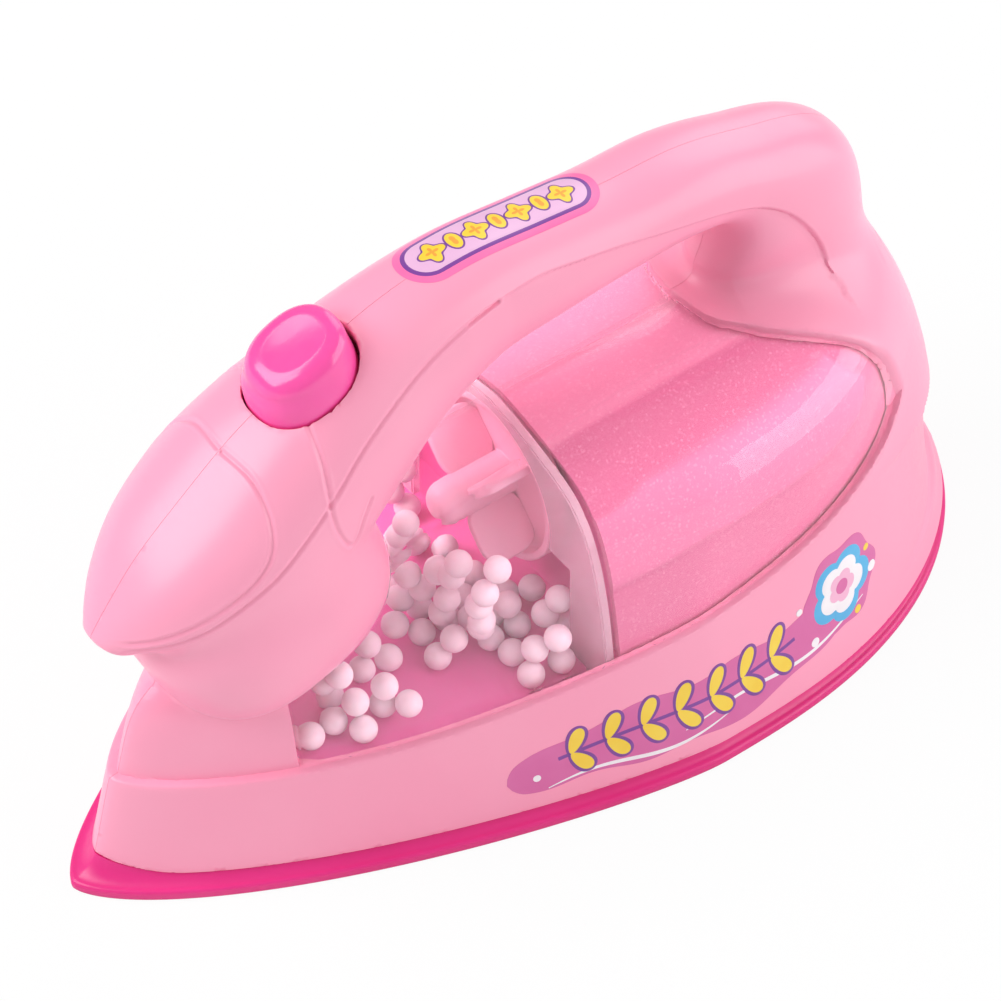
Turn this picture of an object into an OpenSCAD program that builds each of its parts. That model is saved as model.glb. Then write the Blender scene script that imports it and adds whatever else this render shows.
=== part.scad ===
// Toy iron with a clear bead window, a push button and a battery fan.
// Nose towards -X, handle up, sole on z = 0, seam on y = 0.

/* [Sole] */
// length from the nose tip to the heel
sole_l = 160; // [120:1:200]
// greatest width of the sole
sole_w = 77.6; // [60:0.5:100]
// thickness of the sole at its edge
sole_edge_h = 1.9; // [1.5:0.1:3]
// rounding of the sole's edge
sole_edge_r = 0.5; // [0.2:0.1:0.8]
// height of the platform that carries the skirt
sole_top_h = 3.4; // [2.5:0.1:5]
// how far the platform stays inside the skirt line
platform_inset = 1.6; // [1:0.1:3]

/* [Skirt and dome] */
// height of the skirt's lower edge
skirt_z = 3.4; // [2.5:0.1:5]
// height of the heel lip's crease
lip_z = 7.6; // [6:0.1:10]
// height of the skirt's straight wall
wall_z = 20; // [16:0.5:24]
// low shoulder height
low_z = 31; // [28:0.5:34]
// middle shoulder height
mid_z = 36.5; // [34:0.5:40]
// upper shoulder height
upper_z = 42.5; // [40:0.5:45]
// high shoulder height
high_z = 48.5; // [46:0.5:51]
// height where the dome turns over
turn_z = 53; // [51.5:0.5:54]
// height of the dome's shoulder round
round_z = 56; // [54.5:0.5:57]
// height close under the crest
near_crest_z = 57.8; // [57:0.1:58.2]
// height of the dome's crest
crest_z = 58.6; // [58.4:0.1:62]
// nose end of the skirt's lower edge, from the middle
skirt_nose = 76.4; // [70:0.1:79]
// heel end of the skirt's lower edge, from the middle
skirt_heel = 79.7; // [74:0.1:80]
// half width of the skirt's lower edge
skirt_half_w = 37.6; // [30:0.1:38.5]
// nose end at the lip crease
lip_nose = 75.2; // [70:0.1:78]
// heel end at the lip crease
lip_heel = 77.7; // [72:0.1:79]
// half width at the lip crease
lip_half_w = 36.8; // [30:0.1:38]
// nose end at the straight wall's top
wall_nose = 72.2; // [68:0.1:76]
// heel end at the straight wall's top
wall_heel = 75.9; // [70:0.1:78]
// half width at the straight wall's top
wall_half_w = 34.4; // [28:0.1:37]
// nose end at the low shoulder
low_nose = 68.9; // [64:0.1:72]
// heel end at the low shoulder
low_heel = 74.2; // [70:0.1:77]
// half width at the low shoulder
low_half_w = 32.9; // [27:0.1:36]
// nose end at the middle shoulder
mid_nose = 63.5; // [58:0.1:67]
// heel end at the middle shoulder
mid_heel = 72.8; // [68:0.1:76]
// half width at the middle shoulder
mid_half_w = 32.3; // [27:0.1:35]
// nose end at the upper shoulder
upper_nose = 55; // [50:0.1:60]
// heel end at the upper shoulder
upper_heel = 70.6; // [66:0.1:74]
// half width at the upper shoulder
upper_half_w = 31.6; // [26:0.1:34]
// nose end at the high shoulder
high_nose = 43.5; // [38:0.1:48]
// heel end at the high shoulder
high_heel = 67.2; // [62:0.1:70]
// half width at the high shoulder
high_half_w = 30.2; // [24:0.1:33]
// nose end where the dome turns over
turn_nose = 32.5; // [28:0.1:38]
// heel end where the dome turns over
turn_heel = 62.5; // [58:0.1:66]
// half width where the dome turns over
turn_half_w = 26.8; // [20:0.1:30]
// nose end at the shoulder round
round_nose = 23; // [18:0.1:28]
// heel end at the shoulder round
round_heel = 57; // [52:0.1:61]
// half width at the shoulder round
round_half_w = 19.6; // [14:0.1:24]
// nose end close under the crest
near_nose = 14; // [10:0.1:17]
// heel end close under the crest
near_heel = 50; // [46:0.1:51]
// half width close under the crest
near_half_w = 11; // [8:0.1:13]
// nose end of the crest's flat
crest_nose = 5; // [3:0.1:9]
// heel end of the crest's flat
crest_heel = 42; // [38:0.1:45]
// half width of the crest's flat
crest_half_w = 4; // [2:0.1:6]
// wall of the body shells
shell_wall = 2.2; // [1.6:0.1:3]
// height of the skirt's rim at the nose
rim_nose_z = 20; // [17:0.1:22]
// height that the rim gains up to the window's rear corner
rim_rise = 21; // [15:0.1:24]
// where the rim starts to rise, ahead of the middle
rim_start = 60; // [50:0.5:70]
// rear corner of the window, behind the middle
rim_end = 57.5; // [50:0.1:60]
// step from the skirt's face in to the dome
rim_step = 0.9; // [0.5:0.1:1.5]

/* [Windows] */
// wall of the clear windows
window_wall = 1.5; // [1.2:0.1:2.2]
// front edge of the windows, ahead of the middle
window_front = 49; // [40:0.5:55]
// how far the windows and liners run down behind the rim
window_tuck = 3; // [1:0.1:5]
// where the saddle's tip starts, behind the middle
tongue_tip = 29.7; // [26:0.1:33]
// length of the saddle's blunt tip
tongue_tip_l = 4.6; // [2:0.1:6]
// half width of the saddle at the end of its blunt tip
tongue_tip_w = 11; // [8:0.1:13]
// half width of the saddle ahead of the rear corner
tongue_mid_w = 15.8; // [12:0.1:18]
// half width of the saddle at the rear corner
tongue_end_w = 20.8; // [18:0.1:24]
// place of the clear partition, ahead of the middle
partition_x = 3; // [0:0.1:6]
// thickness of the partition
partition_t = 1.6; // [1.2:0.1:2.4]
// radius of the arch through the partition
arch_r = 14.6; // [12:0.1:17]
// half width of the arch's lower, square part
arch_leg_w = 19.5; // [16:0.1:22]
// height where the arch steps out to its square part
arch_step_z = 36.5; // [32:0.1:38]
// wall of the glitter liners
liner_wall = 0.9; // [0.6:0.1:1.4]
// rear end of the glitter liners, behind the middle
liner_end = 53.5; // [48:0.1:54]
// gap between window and liner
liner_gap = 0.25; // [0.1:0.05:0.6]

/* [Handle] */
// half width of the grip
grip_half_w = 8.8; // [7:0.1:11]
// half height of the grip
grip_half_h = 7.2; // [6:0.1:10]
// height of the grip's centre line
grip_z = 80.2; // [70:0.1:90]
// bend radius of the centre line at the rear
bend_r = 20.5; // [17:0.1:24]
// where the rear bend starts, behind the middle
bend_x = 28.5; // [24:0.1:34]
// half width of the rear post
post_half_w = 9.8; // [8:0.1:12]
// half depth of the rear post
post_half_d = 14.5; // [10:0.1:15]
// half depth of the bend near the post
bend_low_h = 13.9; // [9:0.1:14.5]
// half depth of the bend near the grip
bend_high_h = 7.6; // [6:0.1:10]
// half width of the rear post's foot
foot_half_w = 16.5; // [13:0.1:20]
// half depth of the rear post's foot
foot_half_d = 18; // [15:0.1:20]
// height of the rear post's foot
foot_z = 45; // [42:0.1:48]
// wall of the handle
handle_wall = 2.2; // [1.6:0.1:3]

/* [Head] */
// shoulder of the head under the label, ahead of the middle
head_a_x = 8; // [4:0.1:12]
// height of that shoulder's centre
head_a_z = 79.9; // [70:0.1:85]
// half height of that shoulder
head_a_h = 10.1; // [8:0.1:12]
// half width of that shoulder
head_a_w = 9.6; // [8:0.1:12]
// place behind the button, ahead of the middle
head_b_x = 19; // [15:0.1:22]
// height of its centre
head_b_z = 77; // [70:0.1:82]
// half height there
head_b_h = 11.6; // [9:0.1:14]
// half width there
head_b_w = 10.6; // [9:0.1:13]
// place under the button, ahead of the middle
head_c_x = 30; // [26:0.1:34]
// height of its centre
head_c_z = 71.2; // [66:0.1:76]
// half height there
head_c_h = 13.2; // [11:0.1:16]
// half width there
head_c_w = 12.8; // [11:0.1:15]
// place ahead of the button, ahead of the middle
head_d_x = 40; // [36:0.1:44]
// height of its centre
head_d_z = 65; // [60:0.1:70]
// half height there
head_d_h = 13.9; // [11:0.1:16]
// half width there
head_d_w = 15; // [12:0.1:18]
// place at the visor's top, ahead of the middle
head_e_x = 48; // [45:0.1:51]
// height of its centre
head_e_z = 60; // [56:0.1:64]
// half height there
head_e_h = 13; // [10:0.1:15]
// half width there
head_e_w = 15.8; // [12:0.1:18]
// place at the visor's middle, ahead of the middle
head_f_x = 56; // [53:0.1:59]
// height of its centre
head_f_z = 55; // [50:0.1:59]
// half height there
head_f_h = 11.6; // [9:0.1:14]
// half width there
head_f_w = 14.2; // [10:0.1:16]
// place at the visor's foot, ahead of the middle
head_g_x = 63; // [60:0.1:66]
// height of its centre
head_g_z = 51.2; // [46:0.1:55]
// half height there
head_g_h = 8.6; // [6:0.1:10]
// half width there
head_g_w = 10.2; // [7:0.1:12]
// nose end of the head, ahead of the middle
head_h_x = 69.5; // [67:0.1:73]
// height of the nose end's centre
head_h_z = 49.6; // [44:0.1:53]
// half height of the nose end
head_h_h = 4.2; // [2:0.1:6]
// half width of the nose end
head_h_w = 4.6; // [3:0.1:7]
// centre of the cheek lobe, ahead of the middle
cheek_x = 46.5; // [42:0.1:52]
// height of the cheek lobe's centre
cheek_z = 45.5; // [43:0.1:50]
// half length of the cheek lobe
cheek_half_l = 19.4; // [16:0.1:21]
// half width of the cheek lobe
cheek_half_w = 17.2; // [14:0.1:19]
// half height of the cheek lobe
cheek_half_h = 14.5; // [12:0.1:16]

/* [Button] */
// centre of the button on the head, ahead of the middle
button_x = 36.3; // [32:0.1:40]
// height of that centre
button_z = 82.05; // [76:0.05:88]
// half length of the oval button
button_half_l = 8.8; // [7:0.1:10]
// half width of the oval button
button_half_w = 7.9; // [6:0.1:9]
// height of the button above the head
button_h = 6.1; // [4.6:0.1:9]
// rounding of the button's top edge
button_r = 2.7; // [1:0.1:3]
// how much the button narrows towards its top
button_taper = 0.85; // [0.2:0.05:1.4]
// rise of the button's top face from its middle to its rear end
button_rise = 1.9; // [0:0.1:2.2]
// travel of the button
button_travel = 2; // [1.5:0.1:2.2]
// gap round the button in the head
button_gap = 0.35; // [0.2:0.05:0.6]
// wall of the button
button_wall = 1.6; // [1.2:0.1:2.4]
// depth of the collar in the head below the button's centre
collar_h = 5.2; // [4.8:0.1:5.6]
// wall of the collar
collar_wall = 1.4; // [1:0.1:2]
// thickness of the button's flange
flange_t = 1.1; // [0.8:0.1:1.4]
// width of the button's flange
flange_w = 0.9; // [0.6:0.1:1.2]
// radius of the button's stem
stem_r = 2; // [1.5:0.1:2.4]
// depth of the stem's end below the button's centre
stem_end = 11.4; // [11:0.1:12]
// clearance of the stem in its guide
stem_clear = 0.06; // [0.02:0.01:0.1]
// radius of the boss over the spring
stem_boss_r = 4.2; // [3.6:0.1:5]
// depth of that boss's end below the button's centre
stem_boss_end = 2; // [1:0.1:2.4]
// depth of the guide plate's top below the button's centre
guide_z = 8.8; // [8.7:0.1:9.4]
// thickness of the guide plate
guide_t = 1.2; // [1:0.1:1.6]
// half length of the guide plate
guide_half_l = 9.5; // [7:0.1:11]
// half width of the guide plate
guide_half_w = 7.6; // [6:0.1:9]
// spring wire
spring_wire = 0.6; // [0.4:0.1:0.8]
// spring coil radius, to the wire's middle
spring_r = 3.3; // [3:0.1:3.8]
// spring turns
spring_turns = 3; // [2:1:5]
// switch body length
switch_l = 10; // [8:0.1:12]
// switch body width
switch_w = 5; // [4:0.1:6]
// switch body height
switch_h = 4.6; // [3:0.1:5]
// switch plunger radius
plunger_r = 1; // [0.8:0.1:1.3]
// part of the plunger that stands out
plunger_out = 2.4; // [2.3:0.1:3]
// part of the plunger inside
plunger_in = 1.4; // [1:0.1:1.8]
// clearance of the plunger in its bore
plunger_clear = 0.06; // [0.02:0.01:0.1]

/* [Fan] */
// height of the fan axis
fan_z = 39.4; // [36:0.1:42]
// radius of the fan's disc
fan_r = 14; // [11:0.1:16]
// thickness of the fan's disc
fan_disc_t = 1.6; // [1:0.1:2.4]
// height of the disc's raised rim
fan_rim_h = 2.2; // [1:0.1:3]
// width of the disc's raised rim
fan_rim_w = 1.3; // [0.8:0.1:2]
// front face of the disc, ahead of the middle
fan_face_x = 1; // [0:0.1:3]
// radius of the fan's hub
hub_r = 3.4; // [2.5:0.1:5]
// length of the hub ahead of the disc
hub_l = 13; // [8:0.1:16]
// length of the hub's round nose
hub_nose_l = 3; // [2:0.1:4]
// paddles on the fan
paddle_n = 4; // [2:1:8]
// thickness of a paddle
paddle_t = 1.4; // [1:0.1:2]
// reach of a paddle from the axis
paddle_reach = 12; // [9:0.1:13]
// depth of a paddle along the axis
paddle_l = 9; // [6:0.1:12]
// rounding of a paddle
paddle_r = 3.5; // [2:0.1:4]
// motor shaft radius
shaft_r = 1; // [0.75:0.05:1.5]
// clearance of the shaft in its bearing
shaft_clear = 0.05; // [0.02:0.01:0.1]
// motor can radius
motor_r = 10; // [8:0.1:12]
// motor can length
motor_l = 21; // [16:0.5:28]
// motor bearing boss radius
boss_r = 3; // [2:0.1:4]
// motor bearing boss length
boss_l = 1.6; // [1:0.1:2.5]
// motor end cap thickness
cap_t = 2.4; // [1.5:0.1:4]
// bulkhead thickness
bulkhead_t = 1.6; // [1.2:0.1:2.4]
// gap between the fan's disc and the bulkhead
fan_gap = 1.2; // [0.6:0.1:3]
// wall of the motor cup
cup_wall = 1.4; // [1:0.1:2]

/* [Tray and beads] */
// height of the tray's floor
tray_z = 17.6; // [15:0.1:20]
// thickness of the tray
tray_t = 1.4; // [1:0.1:2]
// nose end of the tray, ahead of the middle
tray_nose = 61; // [55:0.5:66]
// radius of a foam bead
bead_r = 2.15; // [1.8:0.05:2.6]
// spacing of the beads
bead_pitch = 4.6; // [4.4:0.1:6]
// gap under the lowest beads
bead_gap = 0.1; // [0.05:0.05:0.5]

/* [Batteries] */
// AA cell radius
cell_r = 7.1; // [6.9:0.05:7.3]
// AA cell length without its cap
cell_l = 49; // [48:0.1:50]
// AA cell cap radius
cell_cap_r = 2.7; // [2:0.1:3]
// AA cell cap height
cell_cap_h = 1.4; // [1:0.1:2]
// distance of the two cells' centre lines
cell_pitch = 16.2; // [15:0.1:20]
// rear end of the battery box, behind the middle
box_rear = 63; // [60:0.1:66]
// room between a cell and the box for its spring
spring_room = 4.6; // [3:0.1:7]
// wall of the battery box
box_wall = 1.4; // [1:0.1:2]
// room round the cells
cell_room = 0.4; // [0.2:0.05:0.8]
// battery door thickness
door_t = 1.6; // [1.2:0.1:2.4]
// gap round the battery door
door_gap = 0.3; // [0.2:0.05:0.5]
// width of the ledge that the door sits on
door_ledge = 1.6; // [1:0.1:2.5]
// contact plate thickness
contact_t = 0.5; // [0.3:0.1:0.8]
// contact plate width
contact_w = 11; // [8:0.5:13]
// contact spring wire
contact_wire = 0.7; // [0.5:0.1:1]
// contact spring radius at its wide end
contact_r = 3.4; // [2.5:0.1:5]
// turns of a contact spring
contact_turns = 3; // [2:1:5]

/* [Fasteners] */
// screw thread radius
screw_r = 1.25; // [1:0.05:1.6]
// screw head radius
screw_head_r = 2.6; // [2:0.1:3]
// screw head height
screw_head_h = 1.5; // [1:0.1:2]
// radius of a screw boss
screw_boss_r = 3.2; // [2.6:0.1:4]
// length of the screws that join the halves
half_screw_l = 10; // [8:0.5:14]
// length of the sole's screws
sole_screw_l = 11; // [8:0.5:16]
// gusset thickness on the bosses
gusset_t = 1.2; // [0.8:0.1:2]
// gusset reach past the boss
gusset_w = 2.4; // [1:0.1:4]

/* [Trim] */
// thickness of the stickers
sticker_t = 0.12; // [0.08:0.01:0.2]
// length of the handle's pill label
label_l = 37; // [30:0.5:44]
// width of the handle's pill label
label_w = 11.5; // [8:0.1:14]
// middle of the pill label, ahead of the middle
label_x = 2; // [0:0.1:6]
// front end of the side sticker, ahead of the middle
decal_front = 24; // [20:0.5:30]
// rear end of the side sticker, behind the middle
decal_rear = 52; // [45:0.5:56]
// LED radius
led_r = 2.5; // [1.5:0.1:2.6]
// LED length
led_l = 7; // [5:0.1:9]
// wire radius
wire_r = 0.55; // [0.4:0.05:0.8]

/* [Hidden] */

widest_share = 0.579;
nose_bow_shares = 1.28;
nose_full_shares = 1.486;
heel_bow_shares = 2.489;
heel_full_shares = 1.696;
rim_curve_shares = 1.85;
section_shares = 2.35;
outline_n = 22;
level_steps = 2;
bar_n = 20;
bar_steps = 2;
big_l = sole_l * 2;
hair = sole_l / 8000;
axis_tilt = 9;
cheek_tilt = 22;
cheek_shares = 2.6;
slit = sole_l / 1600;
button_drop = collar_h + slit;
spot_x_shares = [-0.7958, -1.1011, -1.4, 0.8702, 0.9959, 0.8733];
spot_z_shares = [1.16, 1.178, 1.0113, 0.9935, 0.9112, 1.2];
foot_x_shares = [-0.6806, -0.0419, 0.7729];
foot_y_shares = [0.2468, 0.7489, 0.5532];
level_rows = [
  [skirt_z, skirt_nose, skirt_heel, skirt_half_w],
  [lip_z, lip_nose, lip_heel, lip_half_w],
  [wall_z, wall_nose, wall_heel, wall_half_w],
  [low_z, low_nose, low_heel, low_half_w],
  [mid_z, mid_nose, mid_heel, mid_half_w],
  [upper_z, upper_nose, upper_heel, upper_half_w],
  [high_z, high_nose, high_heel, high_half_w],
  [turn_z, turn_nose, turn_heel, turn_half_w],
  [round_z, round_nose, round_heel, round_half_w],
  [near_crest_z, near_nose, near_heel, near_half_w],
  [crest_z, crest_nose, crest_heel, crest_half_w]
];
bend_z = grip_z - bend_r;
spot_froms = [skirt_nose, cheek_x, head_a_x, bend_x, bend_x + bend_r, skirt_heel];
spot_ups = [wall_z, cheek_z, head_a_z, grip_z, bend_z, wall_z];
spots = [for (i = [0 : len(spot_froms) - 1]) [spot_x_shares[i] * spot_froms[i], spot_z_shares[i] * spot_ups[i]]];
feet = [
  [foot_x_shares[0] * skirt_nose, foot_y_shares[0] * skirt_half_w],
  [foot_x_shares[1] * skirt_nose, foot_y_shares[1] * skirt_half_w],
  [foot_x_shares[2] * skirt_heel, foot_y_shares[2] * skirt_half_w]
];
bulkhead_x = fan_disc_t + fan_gap - fan_face_x;
can_x = bulkhead_x + bulkhead_t;
cell_z = door_t + slit + cell_r + cell_room / 2;
box_l = cell_l + cell_cap_h + 2 * contact_t + spring_room;
door_half_w = cell_pitch / 2 + cell_r + cell_room + door_ledge;
door_screw_x = box_rear - box_l - door_ledge - screw_head_r - slit * 4;
door_z = door_gap / 3;
bar_rows = [
  [bend_x + bend_r, foot_z, -90, foot_half_d, foot_half_w],
  [bend_x + bend_r, (foot_z + bend_z) / 2, -90, (foot_half_d + post_half_d) / 2, (foot_half_w + post_half_w) / 2],
  [bend_x + bend_r, bend_z, -90, post_half_d, post_half_w],
  [bend_x + bend_r * cos(30), bend_z + bend_r * sin(30), -60, bend_low_h, post_half_w],
  [bend_x + bend_r * cos(60), bend_z + bend_r * sin(60), -30, bend_high_h, grip_half_w],
  [bend_x, grip_z, 0, grip_half_h, grip_half_w],
  [(bend_x * 2 - head_a_x) / 3, grip_z, 0, grip_half_h + (head_a_h - grip_half_h) / 8, grip_half_w],
  [(bend_x - head_a_x * 2) / 3, grip_z, 1, (grip_half_h + head_a_h) / 2, (grip_half_w + head_a_w) / 2],
  [-head_a_x, head_a_z, 7, head_a_h, head_a_w],
  [-head_b_x, head_b_z, 15, head_b_h, head_b_w],
  [-head_c_x, head_c_z, 25, head_c_h, head_c_w],
  [-head_d_x, head_d_z, 33, head_d_h, head_d_w],
  [-head_e_x, head_e_z, 40, head_e_h, head_e_w],
  [-head_f_x, head_f_z, 47, head_f_h, head_f_w],
  [-head_g_x, head_g_z, 55, head_g_h, head_g_w],
  [-head_h_x, head_h_z, 60, head_h_h, head_h_w]
];

function share(t) = t < widest_share
  ? pow(max(0, 1 - pow((widest_share - t) / widest_share, nose_bow_shares)), 1 / nose_full_shares)
  : pow(max(0, 1 - pow((t - widest_share) / (1 - widest_share), heel_bow_shares)), 1 / heel_full_shares);
function along(i) = (1 - cos(180 * i / outline_n)) / 2;
function blend(a, b, c, d, s) = b + (c - a) * s / 2 + (a - b * 5 / 2 + c * 2 - d / 2) * s * s + (b * 3 - a - c * 3 + d) * s * s * s / 2;
function smooth(rows, n) = concat(
  [for (i = [0 : len(rows) - 2], j = [0 : n - 1])
    blend(rows[max(i - 1, 0)], rows[i], rows[i + 1], rows[min(i + 2, len(rows) - 1)], j / n)],
  [rows[len(rows) - 1]]
);
function lean(rows, i, k) = let (
  a = rows[max(i - 1, 0)],
  b = rows[min(i + 1, len(rows) - 1)],
  m = norm([b[0] - a[0], b[k] - a[k]])
) [(b[0] - a[0]) / m, (a[k] - b[k]) / m];
function sunk(rows, d) = [for (i = [0 : len(rows) - 1])
  let (w = lean(rows, i, 3), n = lean(rows, i, 1), h = lean(rows, i, 2))
  [
    rows[i][0] - d * w[1],
    rows[i][1] - d * (1 - w[1] * n[1]) / n[0],
    rows[i][2] - d * (1 - w[1] * h[1]) / h[0],
    rows[i][3] - d * w[0]
  ]];
function ring(row) = [for (k = [0 : 2 * outline_n - 1])
  let (i = k <= outline_n ? k : 2 * outline_n - k, side = k <= outline_n ? 1 : -1, t = along(i))
  [-row[1] + t * (row[1] + row[2]), side * row[3] * share(t), row[0]]];
function flat(lists) = [for (l = lists, p = l) p];
function tube_faces(n, m) = concat(
  [[for (k = [n - 1 : -1 : 0]) k]],
  [for (r = [0 : m - 2], k = [0 : n - 1]) [r * n + k, (r + 1) * n + (k + 1) % n, (r + 1) * n + k]],
  [for (r = [0 : m - 2], k = [0 : n - 1]) [r * n + k, r * n + (k + 1) % n, (r + 1) * n + (k + 1) % n]],
  [[for (k = [0 : n - 1]) (m - 1) * n + k]]
);
function bent(c) = sign(c) * pow(abs(c), 2 / section_shares);
function bar_ring(row) = [for (k = [0 : bar_n - 1])
  let (a = 360 * k / bar_n, v = row[3] * bent(sin(a)))
  [row[0] - v * sin(row[2]), row[4] * bent(cos(a)), row[1] + v * cos(row[2])]];
function rim_at(x) = rim_nose_z + rim_rise * pow(max(0, x + rim_start) / (rim_start + rim_end), rim_curve_shares);
levels = smooth(level_rows, level_steps);

module solid_dome(d, low) {
  rows = sunk(levels, d);
  foot = [[low, rows[0][1], rows[0][2], rows[0][3]]];
  rings = [for (row = concat(foot, [for (row = rows) if (row[0] > low + slit) row])) ring(row)];
  polyhedron(points = flat(rings), faces = tube_faces(2 * outline_n, len(rings)));
}

module solid_bar(d) {
  last = len(bar_rows) - 1;
  rows = smooth([for (i = [0 : last]) bar_rows[i] + [
    i == last ? d : 0, i == 0 ? d : 0, 0, -d, -d
  ]], bar_steps);
  rings = [for (row = rows) bar_ring(row)];
  polyhedron(points = flat(rings), faces = tube_faces(bar_n, len(rings)));
}

function bulge(c) = sign(c) * pow(abs(c), 2 / cheek_shares);

module solid_cheek(d) {
  n = 36;
  m = 14;
  rings = [for (r = [0 : m])
    let (v = 4 + 172 * r / m, wide = bulge(sin(v)))
    [for (k = [0 : n - 1])
      let (a = 360 * (k - r / 2) / n)
      [-(cheek_half_l - d) * wide * bulge(cos(a)), (cheek_half_w - d) * wide * bulge(sin(a)), -(cheek_half_h - d) * bulge(cos(v))]]];
  translate([-cheek_x, 0, cheek_z])
    rotate([0, -cheek_tilt, 0])
      polyhedron(points = flat(rings), faces = tube_faces(n, m + 1));
}

// the space over the rim, without the saddle
module window_space(grow) {
  difference() {
    translate([0, big_l / 2, 0])
      rotate([90, 0, 0])
        linear_extrude(big_l)
          polygon(concat(
            [[rim_end + grow, big_l / 2], [-window_front - grow, big_l / 2]],
            [for (i = [0 : 16])
              let (x = -window_front - grow + (rim_end + window_front + 2 * grow) * i / 16)
              [x, rim_at(x) - grow]]
          ));
    translate([0, 0, -hair])
      linear_extrude(big_l)
        saddle_plan(-grow);
  }
}

module saddle_plan(grow) {
  xs = [0, 0.1, 0.35, 1];
  ws = [0, 0.42, 0.74, 1];
  side = concat(
    [for (i = [0 : 3]) [tongue_tip - grow + tongue_tip_l * xs[i], (tongue_tip_w + grow) * ws[i]]],
    [[rim_end - tongue_tip_l, tongue_mid_w + grow]],
    [[rim_end, tongue_end_w + grow]],
    [[rim_end + grow + hair, sole_w]]
  );
  polygon(concat(side, [for (i = [len(side) - 1 : -1 : 1]) [side[i][0], -side[i][1]]]));
}

module button_frame() {
  translate([-button_x, 0, button_z])
    rotate([0, -axis_tilt, 0])
      children();
}

module oval(l, w, n = 40) {
  polygon([for (i = [0 : n - 1])
    let (a = 360 * i / n)
    [l * sign(cos(a)) * pow(abs(cos(a)), 2 / section_shares), w * sign(sin(a)) * pow(abs(sin(a)), 2 / section_shares)]]);
}

module half_space(side) {
  translate([-big_l / 2, side > 0 ? 0 : -big_l, -big_l / 2])
    cube([big_l, big_l, big_l]);
}

module body_skin() {
  difference() {
    solid_dome(0, skirt_z);
    window_space(0);
  }
  intersection() {
    solid_dome(rim_step, skirt_z);
    translate([-big_l - window_front, -big_l / 2, 0])
      cube(big_l);
  }
}

module head_skin(d) {
  solid_bar(d);
  solid_cheek(d);
}

// hull() joins a boss to the wall behind it
module rib(from, to, high) {
  hull() {
    translate(from)
      cube([gusset_t, gusset_t, high]);
    translate(to)
      cube([gusset_t, gusset_t, high]);
  }
}

module half_bosses(side) {
  for (i = [0 : len(spots) - 1]) {
    x = spots[i][0];
    z = spots[i][1];
    translate([x, 0, z])
      rotate([-90 * side, 0, 0])
        cylinder(r = screw_boss_r, h = sole_w, $fn = 20);
    rib([x - gusset_t / 2, side > 0 ? 0 : -gusset_t, z - screw_boss_r - gusset_w], [x - gusset_t / 2, side * wall_half_w, z - screw_boss_r - gusset_w], 2 * (screw_boss_r + gusset_w));
  }
}

module foot_bosses(side) {
  for (i = [0 : len(feet) - 1]) {
    x = feet[i][0];
    y = side * feet[i][1];
    translate([x, y, skirt_z])
      cylinder(r = screw_boss_r, h = tray_z - skirt_z, $fn = 20);
    rib([x - gusset_t / 2, y, skirt_z], [x - gusset_t / 2, y + side * wall_half_w / 2, skirt_z], tray_z - skirt_z);
  }
}

module half_screw_holes(side) {
  for (i = [0 : len(spots) - 1])
    translate([spots[i][0], 0, spots[i][1]])
      rotate([-90, 0, 0]) {
        translate([0, 0, -half_screw_l / 2 - slit])
          cylinder(r = screw_r + slit, h = half_screw_l + 2 * slit, $fn = 20);
        if (side > 0)
          translate([0, 0, half_screw_l / 2])
            cylinder(r = screw_head_r + slit, h = big_l / 4, $fn = 20);
      }
}

module body_half(side) {
  difference() {
    intersection() {
      union() {
        difference() {
          body_skin();
          solid_dome(shell_wall, -skirt_z);
        }
        difference() {
          head_skin(0);
          head_skin(handle_wall);
        }
        intersection() {
          head_skin(hair);
          union() {
            button_frame() {
              translate([0, 0, -collar_h])
                linear_extrude(sole_w / 4)
                  oval(button_half_l + button_gap + collar_wall, button_half_w + button_gap + collar_wall);
              for (end = [-1, 1])
                translate([end * guide_half_l - collar_wall, -big_l / 4, -guide_z - guide_t - collar_wall - slit])
                  cube([2 * collar_wall, big_l / 2, collar_wall]);
            }
            intersection() {
              half_bosses(side);
              translate([-big_l / 2, -big_l / 2, wall_z * 2])
                cube(big_l);
            }
          }
        }
        intersection() {
          solid_dome(hair, skirt_z);
          union() {
            foot_bosses(side);
            intersection() {
              half_bosses(side);
              translate([-big_l / 2, -big_l / 2, -big_l + wall_z * 2])
                cube(big_l);
            }
          }
        }
      }
      half_space(side);
    }
    button_frame() {
      translate([0, 0, -collar_h - collar_wall])
        linear_extrude(sole_w / 2)
          oval(button_half_l + button_gap, button_half_w + button_gap);
      translate([0, 0, -guide_z])
        linear_extrude(guide_z - collar_h)
          oval(button_half_l + button_gap + flange_w + 3 * slit, button_half_w + button_gap + flange_w + 3 * slit);
    }
    half_screw_holes(side);
    for (i = [0 : len(feet) - 1])
      translate([feet[i][0], side * feet[i][1], -slit])
        cylinder(r = screw_r + slit, h = sole_screw_l + 2 * slit, $fn = 20);
  }
}

module body_left() {
  color("pink")
    body_half(-1);
}

module body_right() {
  color("pink")
    body_half(1);
}

module dome_part(side, d, wall, grow) {
  intersection() {
    difference() {
      solid_dome(d, skirt_z);
      solid_dome(d + wall, -skirt_z);
    }
    window_space(grow);
    half_space(side);
  }
}

module window_half(side) {
  resize([0, 0, 0])
    difference() {
      dome_part(side, rim_step, window_wall, -slit / 2);
      head_skin(-slit / 2);
    }
}

module window_left() {
  color([1, 0.9, 0.96, 0.3])
    window_half(-1);
}

module window_right() {
  color([1, 0.9, 0.96, 0.3])
    window_half(1);
}

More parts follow.
